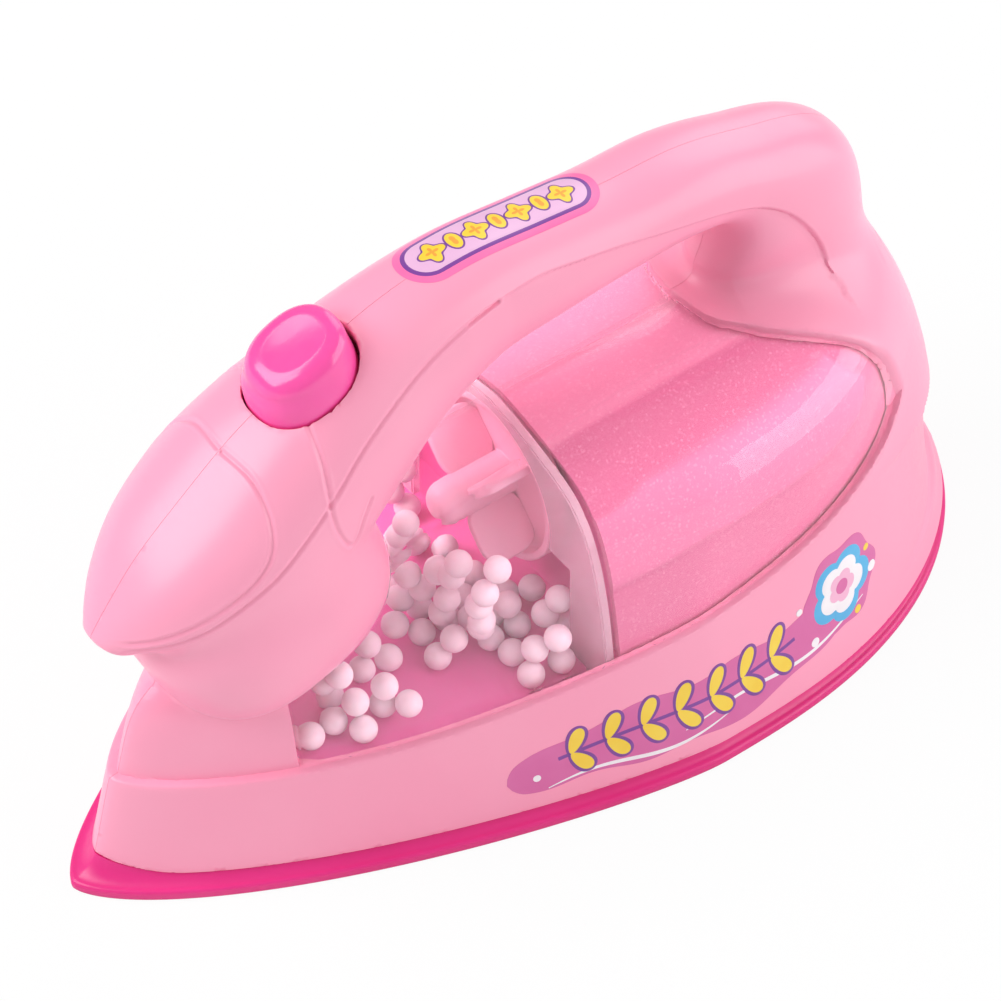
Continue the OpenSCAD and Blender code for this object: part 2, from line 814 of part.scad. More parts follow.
module liner_half(side) {
  resize([0, 0, 0])
    difference() {
      dome_part(side, rim_step + window_wall + liner_gap, liner_wall, window_tuck);
      head_skin(-liner_gap);
      translate([-big_l - partition_x + partition_t, -big_l / 2, 0])
        cube(big_l);
      translate([liner_end, -big_l / 2, 0])
        cube(big_l);
    }
}

module liner_left() {
  color([1, 0.45, 0.7])
    liner_half(-1);
}

module liner_right() {
  color([1, 0.45, 0.7])
    liner_half(1);
}

module slab(x, thick, d, low) {
  intersection() {
    solid_dome(d, low);
    translate([x, -big_l / 2, 0])
      cube([thick, big_l, big_l]);
  }
}

module partition() {
  color([1, 0.85, 0.94, 0.4])
    difference() {
      slab(-partition_x - partition_t / 2, partition_t, rim_step + window_wall + liner_gap, skirt_z);
      translate([-big_l / 2, -big_l / 2, -big_l + tray_z + tray_t])
        cube(big_l);
      translate([-big_l / 2, 0, fan_z])
        rotate([0, 90, 0])
          cylinder(r = arch_r, h = big_l);
      translate([-big_l / 2, -arch_leg_w, 0])
        cube([big_l, 2 * arch_leg_w, arch_step_z]);
    }
}

module bulkhead() {
  color("deeppink")
    difference() {
      union() {
        difference() {
          slab(bulkhead_x, bulkhead_t, rim_step + window_wall + 2 * liner_gap + liner_wall, skirt_z);
          translate([-big_l / 2, -big_l / 2, -big_l + tray_z + tray_t])
            cube(big_l);
        }
        translate([bulkhead_x, 0, fan_z])
          rotate([0, 90, 0])
            cylinder(r = motor_r + slit + cup_wall, h = bulkhead_t + motor_l / 2);
      }
      translate([can_x, 0, fan_z])
        rotate([0, 90, 0])
          cylinder(r = motor_r + slit, h = motor_l);
      translate([0, 0, fan_z])
        rotate([0, 90, 0])
          cylinder(r = boss_r + slit, h = motor_l);
    }
}

module motor_can() {
  color("silver")
    translate([can_x, 0, fan_z])
      rotate([0, 90, 0])
        difference() {
          union() {
            cylinder(r = motor_r, h = motor_l);
            translate([0, 0, -boss_l])
              cylinder(r = boss_r, h = boss_l + motor_l + cap_t);
          }
          translate([0, 0, -big_l / 2])
            cylinder(r = shaft_r + shaft_clear, h = big_l);
        }
}

module motor_shaft() {
  color("gray")
    translate([-fan_face_x - hub_l / 2, 0, fan_z])
      rotate([0, 90, 0])
        cylinder(r = shaft_r, h = can_x + motor_l + cap_t + fan_face_x + hub_l / 2 + boss_l / 2);
}

module impeller() {
  color("hotpink")
    translate([-fan_face_x, 0, fan_z])
      rotate([0, 90, 0])
        difference() {
          union() {
            cylinder(r = fan_r, h = fan_disc_t);
            difference() {
              translate([0, 0, -fan_rim_h])
                cylinder(r = fan_r, h = fan_rim_h);
              translate([0, 0, -big_l / 2])
                cylinder(r = fan_r - fan_rim_w, h = big_l / 2);
            }
            translate([0, 0, -hub_l + hub_nose_l])
              cylinder(r = hub_r, h = hub_l - hub_nose_l);
            translate([0, 0, -hub_l])
              cylinder(r1 = hub_r * 0.6, r2 = hub_r, h = hub_nose_l);
            for (i = [0 : paddle_n - 1])
              rotate([0, 0, 45 + 360 * i / paddle_n])
                translate([0, -paddle_t / 2, 0])
                  rotate([-90, 0, 0])
                    linear_extrude(paddle_t)
                      paddle_face();
          }
          translate([0, 0, -hub_l / 2])
            cylinder(r = shaft_r, h = big_l);
        }
}

module paddle_face() {
  square([paddle_reach - paddle_r, paddle_l]);
  square([paddle_reach, paddle_l - paddle_r]);
  translate([paddle_reach - paddle_r, paddle_l - paddle_r])
    circle(r = paddle_r);
}

module tray() {
  color("deeppink")
    difference() {
      intersection() {
        solid_dome(shell_wall + slit, -skirt_z);
        translate([-tray_nose, -sole_w / 2, tray_z])
          cube([tray_nose + can_x, sole_w, tray_t]);
      }
      translate([spots[0][0], -big_l / 2, spots[0][1]])
        rotate([-90, 0, 0])
          cylinder(r = screw_boss_r + slit, h = big_l);
      translate([spots[0][0] - gusset_t, -big_l / 2, 0])
        cube([2 * gusset_t, big_l, big_l]);
    }
}

// a bead stays where it is clear of the windows, the wall and the fan
function inside(p) = let (
  row = lookup_row(p[2] + bead_r),
  t = (p[0] + row[1]) / (row[1] + row[2])
) t > 0 && abs(p[1]) < row[3] * share(t) - rim_step - window_wall - bead_r - 4 * bead_gap - bead_r / 2;
function lookup_row(z) = [
  z,
  lookup(z, [for (r = level_rows) [r[0], r[1]]]),
  lookup(z, [for (r = level_rows) [r[0], r[2]]]),
  lookup(z, [for (r = level_rows) [r[0], r[3]]])
];
function heap(x, y) = max(
  1 - norm([x + sole_l * 0.075, y + sole_w * 0.24]) / (sole_l * 0.125),
  0.8 - norm([x + sole_l * 0.245, y + sole_w * 0.17]) / (sole_l * 0.11),
  0.62 - norm([x + sole_l * 0.11, y - sole_w * 0.2]) / (sole_l * 0.12)
);
bead_spots = [for (layer = [0 : 4], i = [0 : 11], j = [-6 : 6])
  let (
    odd = layer % 2,
    x = -partition_x - partition_t / 2 - bead_r - bead_gap - bead_pitch * (i * 0.87 + odd * 0.29),
    y = bead_pitch * (j + (i % 2) * 0.5 + odd * 0.5),
    z = tray_z + tray_t + bead_r + bead_gap + layer * bead_pitch * 0.82,
    swept = norm([y, z - fan_z])
  )
  if (heap(x, y) > 0.12 + layer * 0.2 && inside([x, y, z]) && x > -window_front + bead_r
      && (x < -fan_face_x - hub_l - bead_r || swept > paddle_reach + bead_r + bead_gap)
      && z < cheek_z - cheek_half_h * 0.9) [x, y, z]];

module foam_beads() {
  color("white")
    for (p = bead_spots)
      translate(p)
        sphere(r = bead_r);
}

module button() {
  n = 40;
  color("deeppink")
    button_frame() {
      difference() {
        union() {
          lean_oval([
            [-collar_h, 0, 0],
            [0, 0, 0],
            [button_h - button_r, button_taper, 1],
            for (a = [15, 30, 45, 60, 75, 90]) [button_h - button_r * (1 - sin(a)), button_taper + button_r * (1 - cos(a)), 1]
          ]);
          translate([0, 0, -button_drop - flange_t])
            linear_extrude(flange_t)
              oval(button_half_l + button_gap + flange_w, button_half_w + button_gap + flange_w);
          translate([0, 0, -collar_h - slit * 2])
            linear_extrude(slit * 3)
              oval(button_half_l, button_half_w);
        }
        translate([0, 0, -big_l / 2])
          linear_extrude(big_l / 2 + button_h - button_r - button_wall)
            oval(button_half_l - button_wall - button_taper, button_half_w - button_wall - button_taper);
      }
      translate([0, 0, -stem_boss_end])
        cylinder(r = stem_boss_r, h = stem_boss_end + button_h - button_r - button_wall + slit);
      translate([0, 0, -stem_end])
        cylinder(r = stem_r, h = stem_end);
    }
}

module lean_oval(rows) {
  n = 40;
  rings = [for (r = rows) [for (i = [n - 1 : -1 : 0])
    let (a = 360 * i / n, x = (button_half_l - r[1]) * bent(cos(a)))
    [x, (button_half_w - r[1]) * bent(sin(a)), r[0] + r[2] * x * button_rise / button_half_l]]];
  polyhedron(points = flat(rings), faces = tube_faces(n, len(rings)));
}

module coil(r1, r2, wire, turns, h) {
  steps = 14;
  n = 6;
  count = ceil(turns * steps);
  rings = [for (i = [0 : count])
    let (s = i / count, a = 360 * turns * s, r = r1 + (r2 - r1) * s, z = wire / 2 + (h - wire) * s)
    [for (k = [0 : n - 1])
      let (b = 360 * k / n)
      [(r + wire / 2 * cos(b)) * cos(a), (r + wire / 2 * cos(b)) * sin(a), z + wire / 2 * sin(b)]]];
  polyhedron(points = flat(rings), faces = tube_faces(n, len(rings)));
}

module button_spring() {
  color("silver")
    button_frame()
      translate([0, 0, -guide_z])
        coil(spring_r, spring_r, spring_wire, spring_turns, guide_z - stem_boss_end);
}

module switch_bracket() {
  color("pink")
    button_frame()
      difference() {
        union() {
          translate([0, 0, -guide_z - guide_t])
            linear_extrude(guide_t)
              square([2 * guide_half_l, 2 * guide_half_w], center = true);
          for (end = [-1, 1])
            translate([end * (switch_w / 2 + guide_t / 2) - guide_t / 2, -switch_l / 2, -stem_end - plunger_out - switch_h])
              cube([guide_t, switch_l, stem_end + plunger_out + switch_h - guide_z - guide_t / 2]);
        }
        translate([0, 0, -big_l / 2])
          cylinder(r = stem_r + stem_clear, h = big_l);
      }
}

module switch_body() {
  color("dimgray")
    button_frame()
      difference() {
        translate([-switch_w / 2, -switch_l / 2, -stem_end - plunger_out - switch_h])
          cube([switch_w, switch_l, switch_h]);
        translate([0, 0, -stem_end - plunger_out - plunger_in - button_travel])
          cylinder(r = plunger_r + plunger_clear, h = switch_h);
      }
}

module switch_plunger() {
  color("white")
    button_frame()
      translate([0, 0, -stem_end - plunger_out - plunger_in])
        cylinder(r = plunger_r, h = plunger_out + plunger_in);
}

module sole_plate() {
  color("mediumvioletred")
    difference() {
      outline_solid([
        [0, sole_edge_r],
        [sole_edge_r, 0],
        [sole_edge_h - sole_edge_r, 0],
        [sole_edge_h, sole_edge_r],
        [(sole_edge_h + skirt_z) / 2, platform_inset],
        [skirt_z, platform_inset * 1.6]
      ]);
      translate([box_rear - box_l - door_ledge - door_gap, -door_half_w - door_gap, -sole_edge_h])
        cube([box_l + 2 * door_ledge + 2 * door_gap, 2 * door_half_w + 2 * door_gap, sole_edge_h + door_t + slit]);
      translate([door_screw_x, 0, -sole_edge_h])
        cylinder(r = screw_head_r + door_ledge + door_gap, h = sole_edge_h + door_t + slit);
      translate([door_screw_x, -screw_head_r - door_ledge - door_gap, -sole_edge_h])
        cube([2 * screw_head_r, 2 * (screw_head_r + door_ledge + door_gap), sole_edge_h + door_t + slit]);
      translate([box_rear - box_l, -cell_pitch / 2 - cell_r - cell_room, 0])
        cube([box_l, cell_pitch + 2 * cell_r + 2 * cell_room, sole_l]);
      translate([door_screw_x, 0, 0])
        cylinder(r = screw_r + slit, h = sole_l, $fn = 48);
      for (i = [0 : len(feet) - 1], side = [-1, 1])
        translate([feet[i][0], side * feet[i][1], -sole_l / 2]) {
          cylinder(r = screw_r + slit, h = sole_l, $fn = 48);
          cylinder(r = screw_head_r + slit, h = sole_l / 2 + screw_head_h, $fn = 48);
        }
    }
}

module outline_solid(rows) {
  rings = [for (r = rows) ring([r[0], sole_l / 2 - r[1], sole_l / 2 - r[1], sole_w / 2 - r[1]])];
  polyhedron(points = flat(rings), faces = tube_faces(2 * outline_n, len(rings)));
}

module battery_door() {
  color("mediumvioletred")
    difference() {
      union() {
        translate([box_rear - box_l - door_ledge, -door_half_w, door_z])
          cube([box_l + 2 * door_ledge, 2 * door_half_w, door_t - door_z]);
        translate([door_screw_x, 0, door_z])
          cylinder(r = screw_head_r + door_ledge, h = door_t - door_z);
        translate([door_screw_x, -screw_head_r - door_ledge, door_z])
          cube([2 * screw_head_r, 2 * screw_head_r + 2 * door_ledge, door_t - door_z]);
      }
      translate([door_screw_x, 0, -sole_l / 2])
        cylinder(r = screw_r + slit, h = sole_l);
    }
}

module screw(head_up, long) {
  rotate([head_up ? 180 : 0, 0, 0]) {
    translate([0, 0, -screw_head_h])
      difference() {
        cylinder(r = screw_head_r, h = screw_head_h);
        for (turn = [0, 90])
          rotate([0, 0, turn])
            translate([-screw_head_r * 0.62, -screw_head_r * 0.12, -screw_head_h / 2])
              cube([screw_head_r * 1.24, screw_head_r * 0.24, screw_head_h]);
      }
    cylinder(r = screw_r, h = long - screw_r);
    translate([0, 0, long - screw_r])
      cylinder(r1 = screw_r, r2 = screw_r * 0.4, h = screw_r);
  }
}

module battery_box() {
  half_w = cell_pitch / 2 + cell_r + cell_room;
  top = door_t + slit + 2 * cell_r + 2 * cell_room;
  color("white")
    difference() {
      translate([box_rear - box_l - box_wall, -half_w - box_wall, skirt_z])
        cube([box_l + 2 * box_wall, 2 * half_w + 2 * box_wall, top + box_wall - skirt_z]);
      translate([box_rear - box_l, -half_w, 0])
        cube([box_l, 2 * half_w, top]);
    }
}

module cell() {
  cylinder(r = cell_r, h = cell_l);
  translate([0, 0, cell_l])
    cylinder(r = cell_cap_r, h = cell_cap_h);
}

module battery_right() {
  color("gold")
    translate([box_rear - contact_t - cell_cap_h - cell_l, cell_pitch / 2, cell_z])
      rotate([0, 90, 0])
        cell();
}

module battery_left() {
  color("gold")
    translate([box_rear - box_l + contact_t + cell_cap_h + cell_l, -cell_pitch / 2, cell_z])
      rotate([0, -90, 0])
        cell();
}

module contact_front() {
  color("silver")
    translate([box_rear - box_l, -cell_pitch / 2 - contact_w / 2, cell_z - contact_w / 2])
      cube([contact_t, cell_pitch + contact_w, contact_w]);
}

module contact_rear() {
  color("silver")
    for (side = [-1, 1])
      translate([box_rear - contact_t, side * cell_pitch / 2 - contact_w / 2, cell_z - contact_w / 2])
        cube([contact_t, contact_w, contact_w]);
}

module contact_spring_right() {
  color("silver")
    translate([box_rear - box_l + contact_t, cell_pitch / 2, cell_z])
      rotate([0, 90, 0])
        coil(contact_r, contact_r * 0.6, contact_wire, contact_turns, spring_room);
}

module contact_spring_left() {
  color("silver")
    translate([box_rear - contact_t, -cell_pitch / 2, cell_z])
      rotate([0, -90, 0])
        coil(contact_r, contact_r * 0.6, contact_wire, contact_turns, spring_room);
}

module pill(l, w) {
  for (end = [-1, 1])
    translate([end * (l - w) / 2, 0])
      circle(d = w, $fn = 40);
  square([l - w, w], center = true);
}

module handle_label() {
  color("plum")
    resize([0, 0, 0])
      intersection() {
        difference() {
          solid_bar(-sticker_t);
          solid_bar(0);
        }
        translate([-label_x, 0, grip_z])
          linear_extrude(sole_l / 4)
            pill(label_l, label_w);
      }
}

module decal(side) {
  color("violet")
    resize([0, 0, 0])
      intersection() {
        difference() {
          solid_dome(-sticker_t, skirt_z);
          solid_dome(0, skirt_z);
        }
        translate([0, side > 0 ? 0 : -big_l, 0])
          translate([0, big_l, 0])
            rotate([90, 0, 0])
              linear_extrude(big_l)
                decal_plan();
      }
}

module decal_plan() {
  long = decal_front + decal_rear;
  mid_x = (decal_rear - decal_front) / 2;
  low_z = (lip_z + wall_z) / 2;
  translate([mid_x, low_z])
    rotate(5)
      pill(long, wall_z - lip_z - 4 * gusset_t);
  translate([decal_rear - long / 5, low_z + sole_edge_h * 2])
    circle(r = (wall_z - lip_z) / 2, $fn = 40);
}

module decal_left() {
  decal(-1);
}

module decal_right() {
  decal(1);
}

module half_screws() {
  color("silver")
    for (i = [0 : len(spots) - 1])
      translate([spots[i][0], half_screw_l / 2, spots[i][1]])
        rotate([90, 0, 0])
          screw(false, half_screw_l);
}

module sole_screws() {
  color("silver")
    for (i = [0 : len(feet) - 1], side = [-1, 1])
      translate([feet[i][0], side * feet[i][1], screw_head_h])
        screw(false, sole_screw_l - screw_head_h);
}

module door_screw() {
  color("silver")
    translate([door_screw_x, 0, door_z])
      cylinder(r = screw_r, h = skirt_z - door_z);
}

sole_plate();
battery_door();
door_screw();
battery_box();
battery_right();
battery_left();
contact_front();
contact_rear();
contact_spring_right();
contact_spring_left();
body_right();
body_left();
window_right();
window_left();
liner_right();
liner_left();
partition();
bulkhead();
motor_can();
motor_shaft();
impeller();
tray();
foam_beads();
button();
button_spring();
switch_bracket();
switch_body();
switch_plunger();
handle_label();
decal_right();
decal_left();
half_screws();
sole_screws();
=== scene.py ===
import math

import bmesh
import bpy
import numpy as np
from mathutils import Matrix, Vector


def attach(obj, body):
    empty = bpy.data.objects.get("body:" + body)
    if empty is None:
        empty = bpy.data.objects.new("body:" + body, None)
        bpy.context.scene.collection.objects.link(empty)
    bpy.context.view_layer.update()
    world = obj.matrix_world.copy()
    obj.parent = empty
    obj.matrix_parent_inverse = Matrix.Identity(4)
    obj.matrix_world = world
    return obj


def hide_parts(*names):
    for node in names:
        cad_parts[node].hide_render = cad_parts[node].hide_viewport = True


# A child's toy iron: pink shell halves, clear windows over loose beads, a magenta sole, a push button and a small fan.
# Shapes are worked out in mm and become metres in the mesh. Nose towards -X, handle up, sole on z = 0, seam on y = 0.

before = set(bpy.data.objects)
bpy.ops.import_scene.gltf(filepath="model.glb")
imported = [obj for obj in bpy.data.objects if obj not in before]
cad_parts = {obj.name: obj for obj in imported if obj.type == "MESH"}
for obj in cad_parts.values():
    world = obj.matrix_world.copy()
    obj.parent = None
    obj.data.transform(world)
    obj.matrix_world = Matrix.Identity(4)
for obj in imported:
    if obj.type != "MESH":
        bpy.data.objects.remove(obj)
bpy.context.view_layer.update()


def linear(code):
    # sRGB hex to linear light: c/12.92 up to 0.04045, above it ((c + 0.055)/1.055) to the power 2.4
    parts = [int(code[k:k + 2], 16) / 255 for k in (1, 3, 5)]
    return [c / 12.92 if c <= 0.04045 else ((c + 0.055) / 1.055) ** 2.4 for c in parts] + [1.0]


def addNode(tree, kind, sockets=None, **settings):
    # adds one shader node; a socket given as another node's output is linked, anything else becomes its value
    node = tree.nodes.new("ShaderNode" + kind)
    for key, value in settings.items():
        setattr(node, key, value)
    for key, value in (sockets or {}).items():
        if isinstance(value, bpy.types.NodeSocket):
            tree.links.new(value, node.inputs[key])
        else:
            node.inputs[key].default_value = value
    return node


def addObject(name, data):
    thing = bpy.data.objects.new(name, data)
    bpy.context.scene.collection.objects.link(thing)
    return thing


def emptyTree(owner):
    # the node tree of a material or world, with nothing in it
    owner.use_nodes = True
    owner.node_tree.nodes.clear()
    return owner.node_tree


def circle(x, y, r, n=40):
    # points round a middle; the radius may be one number or one for each point
    a = np.arange(n) / n * 2 * math.pi
    return np.column_stack([x + r * np.cos(a), y + r * np.sin(a)])


# camera at the photograph's angle: turn and rise in degrees, clipping in m, the rest in mm
camera = {"turn": -36.8, "rise": 47.3, "reach": 766.12, "aside": -1.313, "up": 21.75, "lens": 179.82, "sensor": 36,
          "clip": (0.05, 20)}


def makeCamera(c):
    turn, rise = math.radians(c["turn"]), math.radians(c["rise"])
    back = Vector((math.sin(turn) * math.cos(rise), -math.cos(turn) * math.cos(rise), math.sin(rise)))
    right = Vector((math.cos(turn), math.sin(turn), 0))
    up = back.cross(right)
    place = right * c["aside"] + up * c["up"] + back * c["reach"]
    data = bpy.data.cameras.new("photoCamera")
    data.lens, data.sensor_width, data.sensor_fit = c["lens"], c["sensor"], "HORIZONTAL"
    data.clip_start, data.clip_end = c["clip"]
    eye = addObject("photoCamera", data)
    eye.matrix_world = Matrix([(*axes, at / 1000) for axes, at in zip(zip(right, up, back), place)] + [(0, 0, 0, 1)])
    bpy.context.scene.camera = eye


makeCamera(camera)
print("camera set")

studio = {  # places and sizes in m
    "world": 0.35, "floor": "#F2F2F2", "floorGlow": 0.94, "floorReach": 3, "floorHeight": -0.0001, "aim": (0, 0, 0.04),
    "lamps": {  # place, size and power
        "keySoftbox": ((-0.65, 0.3, 0.72), (0.8, 0.8), 8.8),
        "fillSoftbox": ((0.75, -0.65, 0.4), (1.1, 0.9), 8.0),
        "rimSoftbox": ((0.7, 0.35, 0.5), (0.5, 0.7), 2.0),
    },
}


def shownShare(tree):
    # 1 for what the camera sees straight or through the clear windows, 0 for light that reaches the toy
    path = addNode(tree, "LightPath")
    rays = {0: path.outputs["Is Camera Ray"], 1: path.outputs["Is Transmission Ray"]}
    return addNode(tree, "Math", rays, operation="MAXIMUM").outputs[0]


def buildStudio(s):
    white = linear("#FFFFFF")
    world = bpy.data.worlds.new("paleStudio")
    bpy.context.scene.world = world
    tree = emptyTree(world)
    plain, full = (addNode(tree, "Background", {"Color": white, "Strength": power}) for power in (s["world"], 1.0))
    mixed = addNode(tree, "MixShader", {0: shownShare(tree), 1: plain.outputs[0], 2: full.outputs[0]})
    addNode(tree, "OutputWorld", {"Surface": mixed.outputs[0]})
    # pale card; towards the camera, and through the clear windows, it shines a little by itself, so it reads as white
    card = bpy.data.materials.new("paleMattCard")
    tree = emptyTree(card)
    diffuse = addNode(tree, "BsdfDiffuse", {"Color": linear(s["floor"]), "Roughness": 0.5})
    glow = addNode(tree, "Emission", {"Color": white, "Strength": 1.0})
    share = addNode(tree, "Math", {0: shownShare(tree), 1: s["floorGlow"]}, operation="MULTIPLY")
    both = addNode(tree, "MixShader", {0: share.outputs[0], 1: diffuse.outputs[0], 2: glow.outputs[0]})
    addNode(tree, "OutputMaterial", {"Surface": both.outputs[0]})
    # a wide disc of floor, just under the sole
    mesh = bpy.data.meshes.new("floorCard")
    rim = circle(0, 0, s["floorReach"], 64)
    mesh.from_pydata(np.column_stack([rim, np.full(len(rim), s["floorHeight"])]).tolist(), [], [list(range(len(rim)))])
    mesh.materials.append(card)
    addObject("floorCard", mesh)
    for name, (place, size, power) in s["lamps"].items():
        data = bpy.data.lights.new(name, "AREA")
        data.shape, data.size, data.size_y, data.energy = "RECTANGLE", size[0], size[1], power
        light = addObject(name, data)
        light.location = place
        light.rotation_euler = (Vector(s["aim"]) - Vector(place)).to_track_quat("-Z", "Y").to_euler()


buildStudio(studio)
bpy.context.scene.view_settings.view_transform = "Standard"
print("studio set")


def addPiece(name, points, faces, body, material, sharp=None, replaced=()):
    # a mesh object at the origin from points in mm; edges sharper than the angle stay crisp
    mesh = bpy.data.meshes.new(name)
    points = np.asarray(points, float).reshape(-1, 3) / 1000
    if isinstance(faces, np.ndarray):
        mesh.vertices.add(len(points))
        mesh.vertices.foreach_set("co", points.astype(np.float32).ravel())
        mesh.loops.add(faces.size)
        mesh.loops.foreach_set("vertex_index", faces.astype(np.int32).ravel())
        mesh.polygons.add(len(faces))
        mesh.polygons.foreach_set("loop_start", (np.arange(len(faces)) * faces.shape[1]).astype(np.int32))
        mesh.update(calc_edges=True)
        mesh.validate()
    else:
        mesh.from_pydata(points.tolist(), [], faces)
    mesh.shade_smooth()
    if sharp:
        mesh.set_sharp_from_angle(angle=math.radians(sharp))
    for one in material if isinstance(material, list) else [material]:
        mesh.materials.append(one)
    piece = addObject(name, mesh)
    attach(piece, body)
    if replaced:
        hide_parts(*replaced)
    return piece


def addHalves(name, points, faces, finish, sharp, node):
    # the left half and its mirror image, each in place of its own node
    return [addPiece(name + side, points * (1, turn, 1), faces[:, ::turn], "iron", palette[finish], sharp,
                     (node + "_" + side.lower(),)) for side, turn in (("Left", 1), ("Right", -1))]


def faceOutward(piece, sharp=None):
    # every closed part of a piece with its faces outward
    bm = bmesh.new()
    bm.from_mesh(piece.data)
    bmesh.ops.recalc_face_normals(bm, faces=bm.faces[:])
    bm.to_mesh(piece.data)
    bm.free()
    if sharp:
        piece.data.set_sharp_from_angle(angle=math.radians(sharp))


def outward(points, faces):
    # one closed surface whose volume comes out above zero
    a, b, c = (points[faces[:, k]] for k in range(3))
    return faces[:, ::-1] if np.einsum("ij,ij->i", a, np.cross(b, c)).sum() < 0 else faces


def smooth(v):
    v = np.clip(v, 0, 1)
    return v * v * (3 - 2 * v)


def search(outside, shape, low, high, rounds):
    # the span from low to high, halved time after time towards the place where a test turns true
    low, high = np.full(shape, float(low)), np.full(shape, float(high))
    for _ in range(rounds):
        middle = (low + high) / 2
        out = outside(middle)
        high, low = np.where(out, middle, high), np.where(out, low, middle)
    return low, high


def around(tables, columns, rows, step, x, y):
    # the four values of a table round each point, and the point's shares of the way between them
    u = np.clip((x - columns[0]) / step, 0, len(columns) - 1.001)
    v = np.clip((y - rows[0]) / step, 0, len(rows) - 1.001)
    u, v = np.broadcast_arrays(u, v)
    i, j = u.astype(int), v.astype(int)
    return [tables[..., i + k, j + m] for m in (0, 1) for k in (0, 1)], u - i, v - j


def between(corners, s, t):
    a, b, c, d = corners
    return a * (1 - s) * (1 - t) + b * s * (1 - t) + c * (1 - s) * t + d * s * t


def gridFaces(rows, columns, aroundRows=False, aroundColumns=False, flip=False):
    # quads of a grid of points, row by row; either way may close on itself
    r = np.arange(rows if aroundRows else rows - 1)
    c = np.arange(columns if aroundColumns else columns - 1)
    r, c = (g.ravel() for g in np.meshgrid(r, c, indexing="ij"))
    r2, c2 = (r + 1) % rows, (c + 1) % columns
    quads = np.stack([r * columns + c, r2 * columns + c, r2 * columns + c2, r * columns + c2], 1)
    return quads[:, ::-1] if flip else quads


def slopeOf(field, p, step=0.02):
    x, y, z = p.T
    return np.stack([field(x + step, y, z) - field(x - step, y, z), field(x, y + step, z) - field(x, y - step, z),
                     field(x, y, z + step) - field(x, y, z - step)], 1) / (2 * step)


def contour(field, low, high, cell):
    # the zero surface of a field as quads: one point in each cell that it crosses, put where the tangent planes at
    # the crossings meet (least squares of n.(x - p), held towards their mean), and one quad for each grid edge that
    # crosses
    axes = [np.arange(a, b + cell, cell) for a, b in zip(low, high)]
    values = field(axes[0][:, None, None], axes[1][None, :, None], axes[2][None, None, :])
    values = np.where(np.abs(values) < 1e-7, 1e-7, values)
    inside = values < 0
    across = np.array(values.shape) - 1
    origin = np.array([a[0] for a in axes])
    crossings, rings = [], []
    for axis in range(3):
        head, tail = [slice(None)] * 3, [slice(None)] * 3
        head[axis], tail[axis] = slice(0, -1), slice(1, None)
        where = np.argwhere(inside[tuple(head)] != inside[tuple(tail)])
        step = np.eye(3, dtype=int)[axis]
        v0, v1 = values[tuple(where.T)], values[tuple((where + step).T)]
        crossings.append(origin + (where + (v0 / (v0 - v1))[:, None] * step) * cell)
        ring = []
        for db, dc in ((-1, -1), (0, -1), (0, 0), (-1, 0)):
            corner = where.copy()
            corner[:, (axis + 1) % 3] += db
            corner[:, (axis + 2) % 3] += dc
            ring.append((corner[:, 0] * across[1] + corner[:, 1]) * across[2] + corner[:, 2])
        ring = np.stack(ring, 1)
        ring[v0 > 0] = ring[v0 > 0][:, ::-1]
        rings.append(ring)
    points, rings = np.vstack(crossings), np.vstack(rings)
    slopes = slopeOf(field, points)
    normals = slopes / np.maximum(np.linalg.norm(slopes, axis=1, keepdims=True), 1e-9)
    cells, index = np.unique(rings, return_inverse=True)
    index = index.reshape(rings.shape)
    total = lambda v: np.bincount(index.ravel(), np.repeat(v, 4), len(cells))
    count = total(np.ones(len(points)))
    mean = np.stack([total(points[:, k]) for k in range(3)], 1) / count[:, None]
    matrix = np.empty((len(cells), 3, 3))
    for i in range(3):
        for j in range(i, 3):
            matrix[:, i, j] = matrix[:, j, i] = total(normals[:, i] * normals[:, j])
    reach = (normals * points).sum(1)
    right = np.stack([total(normals[:, k] * reach) for k in range(3)], 1) - np.einsum("nij,nj->ni", matrix, mean)
    matrix += np.eye(3) * 0.06  # how firmly a point is held towards the mean
    shift = np.linalg.solve(matrix, right[..., None])[..., 0]
    size = np.linalg.norm(shift, axis=1, keepdims=True)
    shift *= np.minimum(1, cell * 0.8 / np.maximum(size, 1e-9))
    return mean + shift, index


def settle(field, points, rounds=2, cap=0.25):
    # Newton steps along the slope, p - f(p) n / |slope|, bring points onto the zero surface
    for _ in range(rounds):
        slope = slopeOf(field, points)
        step = slope * (field(*points.T) / np.maximum((slope**2).sum(1), 1e-3))[:, None]
        length = np.linalg.norm(step, axis=1, keepdims=True)
        points = points - step * np.minimum(1, cap / np.maximum(length, 1e-9))
    return points


domeShape = {
    "widestShare": 0.579, "noseBow": 1.28, "noseFull": 1.486, "heelBow": 2.489, "heelFull": 1.696,
    "rows": [  # height, nose reach, heel reach, half width, in mm
        (3.4, 76.4, 79.7, 37.6), (7.6, 75.2, 77.7, 36.8), (20, 72.2, 75.9, 34.4), (31, 68.9, 74.2, 32.9),
        (36.5, 63.5, 72.8, 32.3), (42.5, 55, 70.6, 31.6), (48.5, 43.5, 67.2, 30.2), (53, 32.5, 62.5, 26.8),
        (56, 23, 57, 19.6), (57.8, 14, 50, 11), (58.6, 5, 42, 4)],
    # x and height
    "rim": ((-90, 20), (-60, 20), (-49, 20.25), (-30, 21.5), (-4, 24.9), (13.8, 27.3), (23, 28.8), (35.6, 31.2),
            (47.3, 34.5), (53, 37.2), (57, 40.6), (60, 45), (66, 56), (90, 90)),
    "windowFront": 49,
    "saddle": ((29.5, 0), (29.6, 1.4), (29.9, 3.8), (30.5, 6.5), (31.8, 8.8), (34.2, 11), (37, 13.6), (40, 15.8),
               (44, 18.2), (47.4, 20), (51, 21.6), (54, 22.2), (56.4, 22.7), (58, 24.4), (60, 28), (66, 42)),
}

